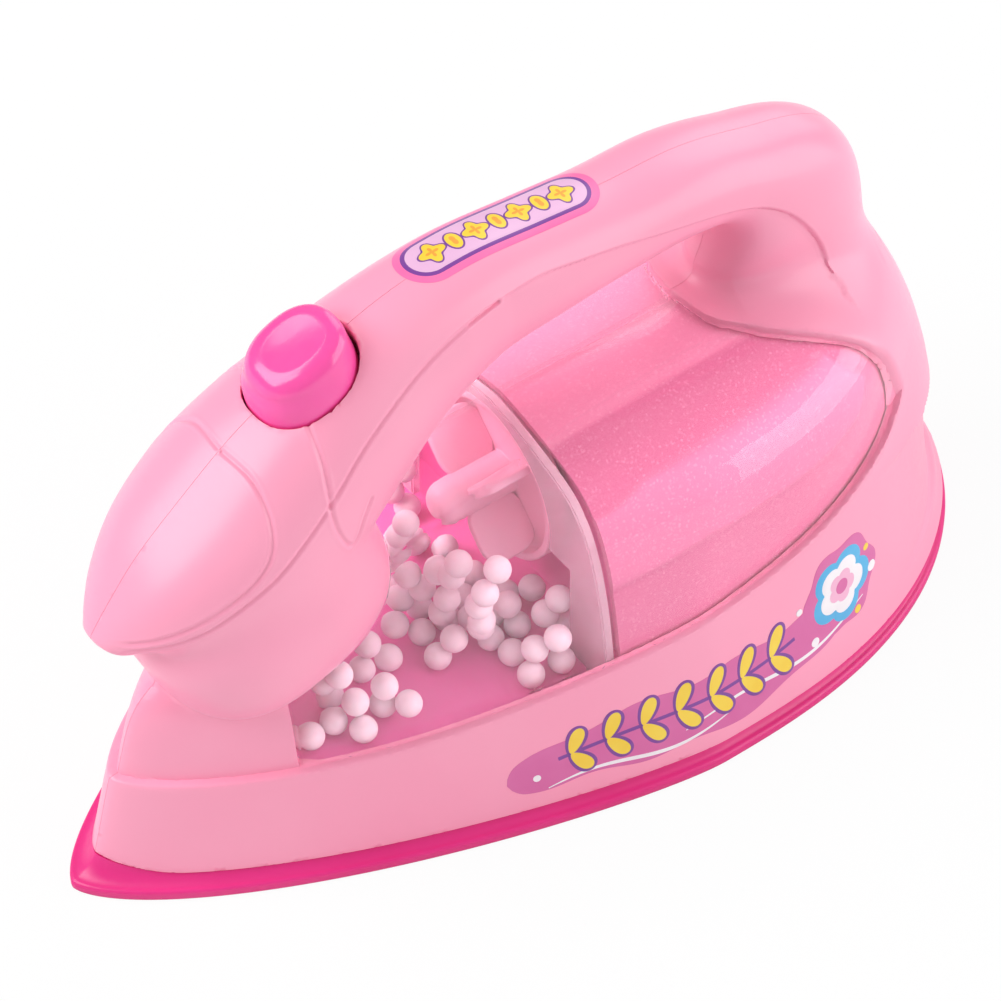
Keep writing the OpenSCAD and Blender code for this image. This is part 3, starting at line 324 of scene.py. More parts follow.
handleShape = {
    "corners": 2.35,
    "rows": [  # x, z, tilt in degrees, half height, half width
        (49, 30.3, -90, 21.5, 23.2), (49, 37.65, -90, 19.75, 19.85), (49, 45, -90, 18, 16.5),
        (49, 52.35, -90, 16.25, 13.15), (49, 59.7, -90, 14.5, 9.8), (46.25, 69.95, -60, 13.9, 9.8),
        (38.75, 77.45, -30, 7.6, 8.8), (28.5, 80.2, 0, 7.2, 8.8), (16.33, 80.2, 0, 7.56, 8.8),
        (4.17, 80.2, 1, 8.65, 9.2), (-8, 79.9, 7, 10.1, 9.6), (-19, 77, 15, 11.6, 10.6), (-30, 71.2, 25, 13.2, 12.8),
        (-40, 65, 33, 13.9, 15), (-48, 60, 40, 13, 15.8), (-56, 55, 47, 11.6, 14.2), (-63, 51.2, 55, 8.6, 10.2),
        (-69.5, 49.6, 60, 4.2, 4.6)],
    "cheek": (-46.5, 45.5, 19.4, 17.2, 14.5, 2.6, 22),  # x, z, half length, half width, half height, fullness, tilt
}


def spline(rows, steps):
    # Catmull-Rom through the rows: b + (c-a)s/2 + (a-5b/2+2c-d/2)s^2 + (3b-a-3c+d)s^3/2
    rows = np.asarray(rows, float)
    padded = np.vstack([rows[:1], rows, rows[-1:]])
    a, b, c, d = (padded[i:len(rows) - 1 + i, None] for i in range(4))
    s = (np.arange(steps) / steps)[None, :, None]
    body = b + (c - a) * s / 2 + (a - 2.5 * b + 2 * c - d / 2) * s**2 + (3 * b - a - 3 * c + d) * s**3 / 2
    return np.vstack([body.reshape(-1, rows.shape[1]), rows[-1:]])


levelTable = np.vstack([spline(domeShape["rows"], 16),
                        [(58.677, -0.3, 36.7, 2.4), (58.714, -7.4, 29.6, 0.9), (58.7193, -12.1, 24.9, 0.3)]])
barTable = spline(handleShape["rows"], 10)
tipReach = np.sin(np.linspace(0, 1, 7)[1:] * math.pi / 2)
barTable = np.vstack([barTable, np.column_stack([  # the head's round tip
    barTable[-1, 0] - 1.6 * tipReach * 0.5, barTable[-1, 1] - 1.6 * tipReach * 0.866, np.full(6, 60.0),
    barTable[-1, 3] * np.sqrt(1.001 - tipReach**2), barTable[-1, 4] * np.sqrt(1.001 - tipReach**2)])])


def distance(value, x, y, z, step=0.05):
    # a value over the length of its own slope is close to a distance near the surface
    base = value(x, y, z)
    moved = value(x + step, y, z), value(x, y + step, z), value(x, y, z + step)
    slope = sum((v - base) ** 2 for v in moved)
    return np.clip(base / (np.sqrt(slope) / step + 1e-4), -30, 30)


def eased(u):
    # a share whose bend at zero is spread out a little: sqrt(u^2 + e^2) - e, scaled back to 1 at 1
    e = 0.025
    return (np.sqrt(u * u + e * e) - e) / (math.sqrt(1 + e * e) - e)


def domeValue(x, y, z):
    # plan outline |u|^bow + |y/half|^full - 1, with u measured from the widest place and the sizes read at height z
    nose, heel, half = (np.interp(z, levelTable[:, 0], levelTable[:, k]) for k in (1, 2, 3))
    t = (x + nose) / (nose + heel)
    w = domeShape["widestShare"]
    front = t < w
    u = eased(np.where(front, (w - t) / w, (t - w) / (1 - w)))
    bow = np.where(front, domeShape["noseBow"], domeShape["heelBow"])
    turn = np.clip((t - w) / 0.12 + 0.5, 0, 1)
    nose, heel = domeShape["noseFull"], domeShape["heelFull"]
    full = nose + (heel - nose) * turn * turn * (3 - 2 * turn)
    return u**bow + (np.abs(y) / half) ** full - 1


roofX, roofY, roofStep = np.arange(-80, 82, 0.5), np.arange(0, 40, 0.5), 0.5
roofTable = search(lambda z: domeValue(roofX[:, None], roofY[None], z) > 0, (len(roofX), len(roofY)), levelTable[0, 0],
                   levelTable[-1, 0], 24)[0]


def domeReach(x, y, z):
    # distance to the dome: from its outline at the point's height low down, from the height of its roof near the crest
    level = distance(domeValue, x, y, z)
    corners, s, t = around(roofTable, roofX, roofY, roofStep, x, np.abs(y))
    a, b, c, d = corners
    slope = np.sqrt(1 + (((b - a) * (1 - t) + (d - c) * t) / roofStep) ** 2
                    + (((c - a) * (1 - s) + (d - b) * s) / roofStep) ** 2)
    share = smooth((z - 49) / 5)
    return level * (1 - share) + np.clip((z - between(corners, s, t)) / slope, -30, 30) * share


def barPlane(px, pz):
    # where points of the side view lie along the bar: offset across its section, and that section's half sizes
    tilts = np.radians(barTable[:, 2])
    c, s = np.cos(tilts), np.sin(tilts)
    out = np.empty((3, px.size))
    for first in range(0, px.size, 6000):
        part = slice(first, first + 6000)
        dx, dz = px[part, None] - barTable[None, :, 0], pz[part, None] - barTable[None, :, 1]
        past, off = -dx * c - dz * s, -dx * s + dz * c
        p0, p1 = past[:, :-1], past[:, 1:]
        here = (p0 >= 0) & (p1 < 0)
        share = np.where(here, p0 / np.where(here, p0 - p1, 1), 0)
        h = off[:, :-1] + (off[:, 1:] - off[:, :-1]) * share
        a = barTable[:-1, 3] + (barTable[1:, 3] - barTable[:-1, 3]) * share
        cost = np.where(here, np.abs(h) / a, 1e6)
        k = cost.argmin(1)
        r = np.arange(k.size)
        out[0, part] = np.where(cost[r, k] < 1e5, h[r, k], 100.0)
        out[1, part] = a[r, k]
        out[2, part] = barTable[k, 4] + (barTable[k + 1, 4] - barTable[k, 4]) * share[r, k]
    return out


planeX, planeZ, planeStep = np.arange(-82, 84, 0.3), np.arange(18, 96, 0.3), 0.3
planeTable = barPlane(*(g.ravel() for g in np.meshgrid(planeX, planeZ, indexing="ij")))
planeTable = planeTable.reshape(3, len(planeX), len(planeZ))


def barReach(x, y, z):
    # distance from a superellipse across the bar, along the ray from its centre: r - r / (1 + v), with v its value
    h, a, b = between(*around(planeTable, planeX, planeZ, planeStep, x, z))
    n = handleShape["corners"]
    scale = ((np.abs(h) / a) ** n + (np.abs(y) / b) ** n) ** (1 / n)
    r = np.sqrt(h * h + y * y)
    return np.clip(r - r / np.maximum(scale, 1e-3), -30, 30)


def cheekReach(x, y, z):
    # distance from a leaning superellipsoid, along the ray from its centre
    cx, cz, halfL, halfW, halfH, n, tilt = handleShape["cheek"]
    c, s = math.cos(math.radians(-tilt)), math.sin(math.radians(-tilt))
    u, v = (x - cx) * c - (z - cz) * s, (x - cx) * s + (z - cz) * c
    scale = ((np.abs(u) / halfL) ** n + (np.abs(y) / halfW) ** n + (np.abs(v) / halfH) ** n) ** (1 / n)
    r = np.sqrt(u * u + y * y + v * v)
    return np.clip(r - r / np.maximum(scale, 1e-3), -30, 30)


def softMin(a, b, r):
    h = np.maximum(r - np.abs(a - b), 0)
    return np.minimum(a, b) - h * h / (4 * r)


def softMax(a, b, r):
    return -softMin(-a, -b, r)


rimTable = spline(domeShape["rim"], 12)


def rimHeight(x):
    return np.interp(x, rimTable[:, 0], rimTable[:, 1])


def overRim(x, y, z):
    # below zero over the rim and outside the saddle
    slope = (rimHeight(x + 0.1) - rimHeight(x - 0.1)) / 0.2
    above = (rimHeight(x) - z) / np.sqrt(1 + slope**2)
    sx, sw = np.array(domeShape["saddle"]).T
    w = np.interp(x, sx, sw, left=-8)
    steep = (np.interp(x + 0.2, sx, sw) - np.interp(x - 0.2, sx, sw)) / 0.4
    return np.maximum(above, (w - np.abs(y)) / np.sqrt(1 + steep**2))


def headField(x, y, z):
    return softMin(barReach(x, y, z), cheekReach(x, y, z), 3.5)


def setRamp(ramp, stops, colors):
    for one, position, color in zip(ramp.color_ramp.elements, stops, colors):
        one.position, one.color = position, linear(color)


def mottled(name, p):
    # a moulded plastic: its colour drifts a little over the piece, and a fine mould texture breaks up its gloss
    material = bpy.data.materials.new(name)
    tree = emptyTree(material)
    place = addNode(tree, "TexCoord").outputs["Object"]
    drift = addNode(tree, "TexNoise", {"Vector": place, "Scale": 1000 / p.get("driftMm", 28), "Detail": 2.0})
    ramp = addNode(tree, "ValToRGB", {"Fac": drift.outputs["Fac"]})
    setRamp(ramp, (0.3, 0.7), p["colors"])
    grain = addNode(tree, "TexNoise", {"Vector": place, "Scale": 1000 / p.get("grainMm", 0.9), "Detail": 2.0})
    low, high = p["roughness"]
    rough = addNode(tree, "MapRange", {"Value": grain.outputs["Fac"], "From Min": 0.35, "From Max": 0.65, "To Min": low,
                                       "To Max": high})
    bump = addNode(tree, "Bump", {"Height": grain.outputs["Fac"], "Strength": 1.0,
                                  "Distance": p.get("bumpMm", 0.0008) / 1000})
    skin = addNode(tree, "BsdfPrincipled", {
        "Base Color": ramp.outputs["Color"], "Roughness": rough.outputs[0], "Normal": bump.outputs["Normal"],
        "IOR": p.get("ior", 1.53), "Metallic": p.get("metallic", 0.0), "Coat Weight": p.get("coat", 0.0),
        "Coat Roughness": 0.08, "Subsurface Weight": p.get("soft", 0.0), "Subsurface Radius": (0.004, 0.0016, 0.002),
        "Subsurface Scale": 1.0})
    addNode(tree, "OutputMaterial", {"Surface": skin.outputs[0]})
    return material


finishes = {
    # ABS injected into a polished mould: even pink, soft gloss
    "mouldedPinkAbs": {"colors": ("#FF9FBE", "#FFA5C2"), "roughness": (0.285, 0.34)},
    # ABS in a slightly matt mould: deep magenta with broad highlights
    "mouldedMagentaAbs": {"colors": ("#E3267F", "#EA3089"), "roughness": (0.30, 0.38), "soft": 0.06},
    "trayMagentaAbs": {"colors": ("#F26FB4", "#F478BA"), "roughness": (0.34, 0.42), "soft": 0.06},
    # glossy ABS button, the brightest pink
    "polishedButtonAbs": {"colors": ("#FF4DA4", "#FF58AB"), "roughness": (0.16, 0.22), "soft": 0.10, "coat": 0.3},
    "mouldedFanAbs": {"colors": ("#FFC0D6", "#FFC9DD"), "roughness": (0.285, 0.35), "soft": 0.12},
    # expanded polystyrene: white, matt, finely pebbled by its cells
    "expandedFoam": {"colors": ("#F1DDE4", "#F7E6EC"), "roughness": (0.62, 0.8), "grainMm": 0.45, "bumpMm": 0.03,
                     "soft": 0.25, "driftMm": 3},
    "mouldedWhiteNylon": {"colors": ("#E9E9EA", "#F2F2F2"), "roughness": (0.4, 0.5), "soft": 0.1},
    "mouldedBlackNylon": {"colors": ("#141415", "#1C1C1E"), "roughness": (0.38, 0.5)},
    # drawn spring steel: bright, with fine wire marks
    "drawnSpringSteel": {"colors": ("#B9BABD", "#C9CACC"), "roughness": (0.18, 0.26), "metallic": 1.0, "ior": 1.5,
                         "grainMm": 0.25},
    "drawnMotorSteel": {"colors": ("#A9ABAE", "#B8B9BC"), "roughness": (0.28, 0.42), "metallic": 1.0, "ior": 1.5,
                        "grainMm": 0.6, "bumpMm": 0.008},
    # printed shrink wrap on a cell
    "shrunkCellWrap": {"colors": ("#C58A2A", "#CE9432"), "roughness": (0.2, 0.26), "coat": 0.4},
}
palette = {name: mottled(name, values) for name, values in finishes.items()}


def clearPlastic(name, tint, rough, body):
    # clear moulded styrene: light passes with little loss, edges and creases shine, and shadows under it stay light
    material = bpy.data.materials.new(name)
    tree = emptyTree(material)
    place = addNode(tree, "TexCoord").outputs["Object"]
    wave = addNode(tree, "TexNoise", {"Vector": place, "Scale": 1000 / 14, "Detail": 1.0})
    bump = addNode(tree, "Bump", {"Height": wave.outputs["Fac"], "Strength": 1.0, "Distance": 0.00006})
    grain = addNode(tree, "TexNoise", {"Vector": place, "Scale": 1000 / 0.6, "Detail": 2.0})
    gloss = addNode(tree, "MapRange", {"Value": grain.outputs["Fac"], "From Min": 0.35, "From Max": 0.65,
                                       "To Min": rough, "To Max": rough + 0.04})
    clear = addNode(tree, "BsdfPrincipled", {
        "Base Color": linear(tint), "Roughness": gloss.outputs[0], "IOR": 1.08, "Transmission Weight": 1.0 - body,
        "Coat Weight": 0.7, "Coat Roughness": 0.04, "Coat IOR": 1.45, "Normal": bump.outputs["Normal"]})
    passing = addNode(tree, "BsdfTransparent", {"Color": linear("#FFF4F9")})
    path = addNode(tree, "LightPath")
    share = addNode(tree, "Math", {0: path.outputs["Is Shadow Ray"], 1: 0.92}, operation="MULTIPLY")
    both = addNode(tree, "MixShader", {0: share.outputs[0], 1: clear.outputs[0], 2: passing.outputs[0]})
    addNode(tree, "OutputMaterial", {"Surface": both.outputs[0]})
    return material


palette["mouldedClearStyrene"] = clearPlastic("mouldedClearStyrene", "#FFF3F8", 0.03, 0.03)
palette["frostedClearStyrene"] = clearPlastic("frostedClearStyrene", "#FFE6F0", 0.08, 0.34)


def glitterSheet():
    # vacuum formed sheet with ground glitter in the pink: broad bands of painted highlight and painted shade along the
    # toy, and fine flakes
    material = bpy.data.materials.new("formedGlitterSheet")
    tree = emptyTree(material)
    place = addNode(tree, "TexCoord").outputs["Object"]
    # the painted highlight and shade of the bands come from a value on the mesh; the cloud only drifts the tone at
    # random
    paintedFoldShade = addNode(tree, "Attribute", attribute_name="paintedFoldShade")
    cloud = addNode(tree, "TexNoise", {"Vector": place, "Scale": 1000 / 30, "Detail": 1.0})
    level = addNode(tree, "Math", {0: cloud.outputs["Fac"], 1: 0.4, 2: paintedFoldShade.outputs["Fac"]}, operation="MULTIPLY_ADD")
    ramp = addNode(tree, "ValToRGB", {"Fac": level.outputs[0]})
    # the dark end is painted shade, the light end painted highlight
    setRamp(ramp, (0.15, 1.0), ("#CC5D8B", "#E98FB0"))
    flakes = addNode(tree, "TexVoronoi", {"Vector": place, "Scale": 1000 / 0.3})
    bright = addNode(tree, "MapRange", {"Value": flakes.outputs["Color"], "From Min": 0.7, "From Max": 1.0,
                                        "To Min": 0.0, "To Max": 0.25})
    color = addNode(tree, "MixRGB", {"Fac": bright.outputs[0], "Color1": ramp.outputs["Color"],
                                     "Color2": linear("#FFD6EA")})
    skin = addNode(tree, "BsdfPrincipled", {
        "Base Color": color.outputs[0], "Roughness": 0.5, "IOR": 1.4, "Coat Weight": 0.1, "Coat Roughness": 0.2})
    addNode(tree, "OutputMaterial", {"Surface": skin.outputs[0]})
    return material


palette["formedGlitterSheet"] = glitterSheet()
print("materials made:", len(palette))

body = {
    "cell": 0.63, "gap": 0.03, "box": ((-78, -39, 2.2), (81, 0.6, 91.5)), "hollow": 2.3, "neckStep": 1.4,
    "seamBevel": 0.13,
    "skirtLow": 3.42, "noseLift": 2.1, "liftFrom": 66, "liftOver": 10,
    "lipInset": 1.5, "lipFrom": 48, "lipOver": 30, "lipTop": 34, "lipFade": 18, "lipFoot": 7.0, "footOver": 1.1,
    # radius between handle and dome, growing to the heel
    "joinNose": 0.9, "joinMore": 5.1, "joinFrom": 24, "joinOver": 12,
    "room": (34, 19),  # middle and half length of the hollow in the head, ahead of the middle
    "grooves": {  # width, depth and points on the left side, in mm; the right side mirrors them
        "visorOval": (0.62, 0.28, ((-50.1, -0.3, 74.9), (-49.5, -6.7, 74.3), (-49.8, -11, 71.4), (-50.6, -13.2, 68.2),
                                   (-52.1, -14.2, 65.5), (-54.9, -14.3, 62.7), (-58.6, -13.4, 60.1),
                                   (-63.1, -11.5, 57.1), (-66.5, -9.3, 55), (-69.3, -6.8, 53.5), (-71.2, -3.2, 52.4),
                                   (-71.9, 0, 51.8))),
        "handleLine": (0.62, 0.28, ((-71.4, 0, 50), (-70.8, -3.6, 50.8), (-68.9, -7, 52.1), (-65.2, -10.2, 53.7),
                                    (-61.9, -12.3, 55.7), (-57.3, -14.2, 59), (-52.2, -15.2, 62.3),
                                    (-47.3, -15.1, 65.9), (-41.2, -14.1, 70.3), (-34.6, -12.4, 75.3),
                                    (-28.2, -11, 79.1), (-23, -10, 81.7), (-18.2, -9.4, 83.4), (-13.6, -8.9, 84.6),
                                    (-8.2, -8.5, 85.4))),
        "cheekLine": (0.6, 0.26, ((-39.6, -5.2, 80.3), (-40, -7.2, 79.5), (-40.6, -10.9, 76.2), (-41.2, -13.3, 72.4),
                                  (-41.5, -14.7, 68.1), (-40.5, -15.1, 63.8), (-38.6, -14.7, 60.5),
                                  (-37.2, -14.5, 61.6), (-36.1, -14.4, 64.3), (-34.5, -14, 66.9))),
    },
    "gripArc": ((-13.6, -8.9, 84.6), (-8.2, -8.5, 85.4), (-0.4, -8.1, 85.5), (7, -8.3, 84.4), (13.1, -8.4, 83.3),
                (19.6, -8.7, 81.9), (28.3, -8.8, 80), (34.2, -8.7, 78.3), (39.5, -8.9, 76), (43.8, -9.5, 72.8),
                (47.4, -9.8, 68), (50.2, -9.6, 62.7), (51.1, -9.9, 59), (52, -10, 55)),
    "gripStep": 0.55, "arcGroove": (0.5, 0.1),  # how much thinner the grip is inside the arc, and the arc's own groove
}
button = {
    "x": -36.3, "z": 82.05, "tilt": 9, "halfLength": 8.25, "halfWidth": 7.4, "height": 6.2, "round": 2.7, "taper": 0.85,
    "rise": 1.9,
    "gap": 0.25, "corners": 2.35, "low": -5.2, "pocket": 6.6, "wall": 1.6, "dish": 0.22, "segments": 96,
    "stem": ((0.001, -11.4), (1.7, -11.4), (2.0, -11.1), (2.0, -2.2), (2.0, -2.0), (3.9, -2.0), (4.2, -1.8),
             (4.2, 1.75), (0.001, 1.75)),
    "flange": ((0.9, 0.05), (0.9, 1.15)),  # reach past the pocket's wall and depth under the cap, upper and lower edge
}


def buttonPlace(x, y, z):
    # a point in the button's own leaning frame
    c, s = math.cos(math.radians(button["tilt"])), math.sin(math.radians(button["tilt"]))
    dx, dz = x - button["x"], z - button["z"]
    return dx * c + dz * s, y, -dx * s + dz * c


def ovalReach(u, v, grow):
    # signed reach outside the button's oval
    n = button["corners"]
    a, b = button["halfLength"] + grow, button["halfWidth"] + grow
    return (((np.abs(u) / a) ** n + (np.abs(v) / b) ** n) ** (1 / n) - 1) * (a + b) / 2


def skinField(x, y, z):
    # the body's closed outside and the hollows in it: skirt and saddle round the dome, the inset neck, and the handle
    dome = domeReach(x, y, z)
    head = headField(x, y, z)
    p = body
    rise = np.clip((z - p["lipFoot"]) / p["footOver"], 0, 1)
    lip = p["lipInset"] * np.clip((x - p["lipFrom"]) / p["lipOver"], 0, 1) ** 1.4 * rise * rise * (3 - 2 * rise)
    lip = lip * np.clip((p["lipTop"] - z) / p["lipFade"], 0, 1)
    skirt = softMax(dome + lip, -overRim(x, y, z), 0.45)
    neck = softMax(dome + p["neckStep"], x + domeShape["windowFront"], 0.6)
    deep = p["hollow"] + p["neckStep"] * np.clip((-domeShape["windowFront"] + 3 - x) / 3, 0, 1)
    shell = softMax(softMin(skirt, neck, 0.15), -(dome + deep + lip), 0.4)
    join = p["joinNose"] + p["joinMore"] * np.clip((x - p["joinFrom"]) / p["joinOver"], 0, 1) ** 2
    whole = softMin(shell, head, join)
    whole = softMax(whole, -np.maximum(dome + deep + 0.3, z - 45), 0.4)
    room = softMax(head + p["hollow"], np.abs(x + p["room"][0]) - p["room"][1], 0.5)
    u, v, w = buttonPlace(x, y, z)
    pocket = np.maximum(ovalReach(u, v, button["gap"]), -button["pocket"] - w)
    whole = softMax(softMax(whole, -room, 0.4), -pocket, 0.3)
    low = p["skirtLow"] + p["noseLift"] * np.clip((-x - p["liftFrom"]) / p["liftOver"], 0, 1) ** 2
    return softMax(whole, low - z, 0.5)


def nearLine(points, line):
    # nearest distance from each point to a line of points, and on which side it lies in the side view
    a, b = line[:-1], line[1:]
    best, side = np.full(len(points), 99.0), np.zeros(len(points))
    for first in range(0, len(points), 20000):
        p = points[first:first + 20000, None]
        d = (b - a)[None]
        t = np.clip(((p - a) * d).sum(2) / (d * d).sum(2), 0, 1)
        off = p - a - d * t[..., None]
        length = np.linalg.norm(off, axis=2)
        k = length.argmin(1)
        r = np.arange(len(k))
        best[first:first + 20000] = length[r, k]
        side[first:first + 20000] = np.sign(d[0, k, 0] * off[r, k, 2] - d[0, k, 2] * off[r, k, 0])
    return best, side


def flattenSeam(field, points, faces, gap):
    # the faces cut by the seam's plane lie in it, and their outer edge is brought back onto the skin inside that plane
    a, b, c, d = (points[faces[:, k]] for k in range(4))
    normal = np.cross(c - a, d - b)
    facing = normal[:, 1] > 0.8 * np.linalg.norm(normal, axis=1)
    flat = facing & (np.abs(points[faces, 1] + gap).max(1) < 0.45)
    seam = np.unique(faces[flat])
    crease = np.intersect1d(seam, np.unique(faces[~flat]))
    points[seam, 1] = -gap
    for _ in range(4):
        p = points[crease]
        slope = slopeOf(field, p) * (1, 0, 1)
        step = slope * (field(*p.T) / np.maximum((slope**2).sum(1), 0.05))[:, None]
        length = np.linalg.norm(step, axis=1, keepdims=True)
        points[crease] = p - step * np.minimum(1, 0.2 / np.maximum(length, 1e-9))
    return points


def largest(points, faces):
    # the faces of the biggest connected surface: every point takes the lowest number among its neighbours until none
    # changes
    label = np.arange(len(points))
    while True:
        before = label.copy()
        np.minimum.at(label, faces.ravel(), np.repeat(label[faces].min(1), faces.shape[1]))
        label = label[label]
        if (label == before).all():
            break
    keep = label == np.bincount(label).argmax()
    return points[keep], (np.cumsum(keep) - 1)[faces[keep[faces[:, 0]]]]


def refined(points, faces, close, bevel=0.0):
    # triangles, with the quads near a line cut into thirds and the seam's edge bevelled
    bm = bmesh.new()
    spots = [bm.verts.new(p) for p in points]
    for f in faces.tolist():
        try:
            bm.faces.new([spots[k] for k in f])
        except ValueError:
            pass
    bm.verts.index_update()
    edges = [e for e in bm.edges if close[e.verts[0].index] or close[e.verts[1].index]]
    bmesh.ops.subdivide_edges(bm, edges=edges, cuts=2, use_grid_fill=True)
    bm.normal_update()
    if bevel:
        seam = [e for e in bm.edges if len(e.link_faces) == 2
                and (e.link_faces[0].normal.y > 0.995) != (e.link_faces[1].normal.y > 0.995)
                and max(abs(v.co.y + body["gap"]) for v in e.verts) < 0.01]
        bmesh.ops.bevel(bm, geom=seam, offset=bevel, segments=1, affect="EDGES", clamp_overlap=True)
    bmesh.ops.triangulate(bm, faces=bm.faces[:])
    bm.verts.index_update()
    points = np.array([v.co for v in bm.verts])
    tris = np.array([[v.index for v in f.verts] for f in bm.faces])
    bm.free()
    return points, tris


def leftHalf(field, values):
    # the left half of a field's solid, closed by a flat face along the seam
    half = lambda x, y, z: np.maximum(field(x, y, z), y + body["gap"])
    points, faces = largest(*contour(half, *values["box"], values["cell"]))
    return flattenSeam(field, settle(half, points), faces, body["gap"]), faces


def makeShells():
    gap = body["gap"]
    points, faces = leftHalf(skinField, body)
    print("shell contour:", len(points), len(faces))
    arc = spline(body["gripArc"], 6)
    lines = [(w, d, spline(p, 6)) for w, d, p in body["grooves"].values()] + [(*body["arcGroove"], arc)]
    lineLow, lineRear, far = 48, 56, 99.0
    near = np.flatnonzero((points[:, 2] > lineLow) & (points[:, 0] < lineRear))
    reach = np.full(len(points), far)
    for _, _, p in lines:
        reach[near] = np.minimum(reach[near], nearLine(points[near], p)[0])
    points, tris = refined(points, faces, reach < 1.25, body["seamBevel"])
    # each groove is a dip with low shoulders, and the skin round it is brought back onto the field first
    move = np.flatnonzero((points[:, 2] > lineLow) & (points[:, 1] < -gap - 0.2) & (points[:, 0] < lineRear))
    reach = np.full(len(points), far)
    cut = np.zeros(len(points))
    for wide, deep, p in lines:
        d, _ = nearLine(points[move], p)
        reach[move] = np.minimum(reach[move], d)
        dip = deep * np.exp(-(d / (wide * 0.55)) ** 2)
        cut[move] += dip - deep * 0.25 * np.exp(-((d - wide * 1.1) / (wide * 0.5)) ** 2)
    fine = move[reach[move] < 1.6]
    points[fine] = settle(skinField, points[fine], 1, 0.1)
    slope = slopeOf(skinField, points[fine])
    outward = slope / np.linalg.norm(slope, axis=1, keepdims=True)
    points[fine] -= outward * cut[fine, None] * (headField(*points[fine].T) > -0.6)[:, None]
    # the grip is a little thinner inside the arc round the finger opening
    grip = np.flatnonzero((points[:, 0] > -14) & (points[:, 2] > 52) & (points[:, 1] < -gap - 0.3))
    d, side = nearLine(points[grip], arc)
    centre = np.clip(-side * d / 0.45, -1, 1) * 0.5 + 0.5
    ease = smooth(centre) * np.clip((points[grip, 0] + 14) / 8, 0, 1)
    ease *= np.clip((points[grip, 2] - 53) / 8, 0, 1)
    ease *= np.clip(np.abs(points[grip, 1]) / 5, 0, 1)
    slope = slopeOf(skinField, points[grip])
    points[grip] -= slope / np.linalg.norm(slope, axis=1, keepdims=True) * (ease * body["gripStep"])[:, None]
    print("shell triangles:", len(tris))
    addHalves("shell", points, tris, "mouldedPinkAbs", 42, "body")


makeShells()
print("shells made")

window = {
    "cell": 0.65, "box": ((-51, -37, 18.5), (60, 0.6, 60.5)), "out": 0.9, "in": 2.4, "edge": 0.12,
    "ridge": 0.34, "ridgeWide": 0.62, "ridgeLow": 44,  # the ridge's height, half width, and the height it starts at
    # x and distance from the seam
    "ridgeLine": ((-30, 11.7), (-16, 12.2), (-5, 11.8), (8, 11.3), (22, 10.7), (36, 10.8)),
}


def ridgeReach(x, y):
    rx, ry = np.array(window["ridgeLine"]).T
    return np.abs(np.abs(y) - np.interp(x, rx, ry))


def windowField(x, y, z):
    # the clear wall between two offsets of the dome, with its fine ridge, inside the opening and clear of the handle
    w = window
    dome = domeReach(x, y, z)
    ridge = w["ridge"] * np.exp(-(ridgeReach(x, y) / w["ridgeWide"]) ** 2)
    ridge = ridge * np.clip((z - w["ridgeLow"]) / 3, 0, 1)
    wall = np.maximum(dome + w["out"] - ridge, -(dome + w["in"]))
    hole = np.maximum(overRim(x, y, z), -domeShape["windowFront"] - x) + w["edge"]
    return softMax(softMax(wall, hole, 0.15), -headField(x, y, z) + w["edge"], 0.1)


def makeWindows():
    points, faces = leftHalf(windowField, window)
    close = (ridgeReach(points[:, 0], points[:, 1]) < 1.2) & (points[:, 2] > 46)
    points, tris = refined(points, faces, close)
    fine = np.flatnonzero((ridgeReach(points[:, 0], points[:, 1]) < 1.8) & (points[:, 2] > 46))
    points[fine] = settle(windowField, points[fine], 2, 0.2)
    print("window triangles:", len(tris))
    addHalves("window", points, tris, "mouldedClearStyrene", 35, "window")


makeWindows()
print("windows made")
liner = {
    "front": -1.4, "rear": 57.2, "offset": 2.65, "wall": 0.9, "tuck": 3.0, "columns": 170, "rows": 70, "raise": 0.3,
    "crownWide": 12.2, "crownLow": 44, "fieldRear": 49,
    "shade": (0.10, 0.36, 0.62, 0.12),  # painted shade: lightness of the plain sheet, and the painted highlight that the field, the crown and the foot add
    "upperFold": ((-2, 48), (0.6, 48.4), (7.2, 51), (20, 52.5), (33, 52.8), (43, 52.6), (48, 48)),  # x and height
    "lowerFold": ((-2, 37), (6, 38.6), (14.6, 40.6), (29, 41.3), (38.6, 41.9), (45.6, 43.4), (48, 47)),
}


def domeSide(x, z, inward):
    # half width of the dome, pulled in along its own slope, as y at a point of the side view
    return sum(search(lambda y: domeReach(x, y, z) + inward > 0, np.broadcast(x, z).shape, 0, 39, 25)) / 2


def domeRoof(x, y, inward):
    # height of the dome's offset over a point of the plan
    return sum(search(lambda z: domeReach(x, y, z) + inward > 0, np.broadcast(x, y).shape, 20, 60, 26)) / 2


def domeArc(x, inward, low, count):
    # evenly spaced points over half a cross section of the dome's offset, from its lowest height up to the seam
    t = np.linspace(0, 1, 400)
    z = low + (58.9 - inward - low) * np.sin(t * math.pi / 2)
    y = domeSide(np.full_like(z, x), z, inward)
    y[-1] = 0
    z[-1] = domeRoof(np.array([x]), np.array([0.0]), inward)[0]
    keep = z <= z[-1] + 1e-6
    y, z = np.append(y[keep], 0), np.append(z[keep], z[-1])
    length = np.append(0, np.cumsum(np.hypot(np.diff(y), np.diff(z))))
    at = np.linspace(0, length[-1], count)
    return np.interp(at, length, y), np.interp(at, length, z)


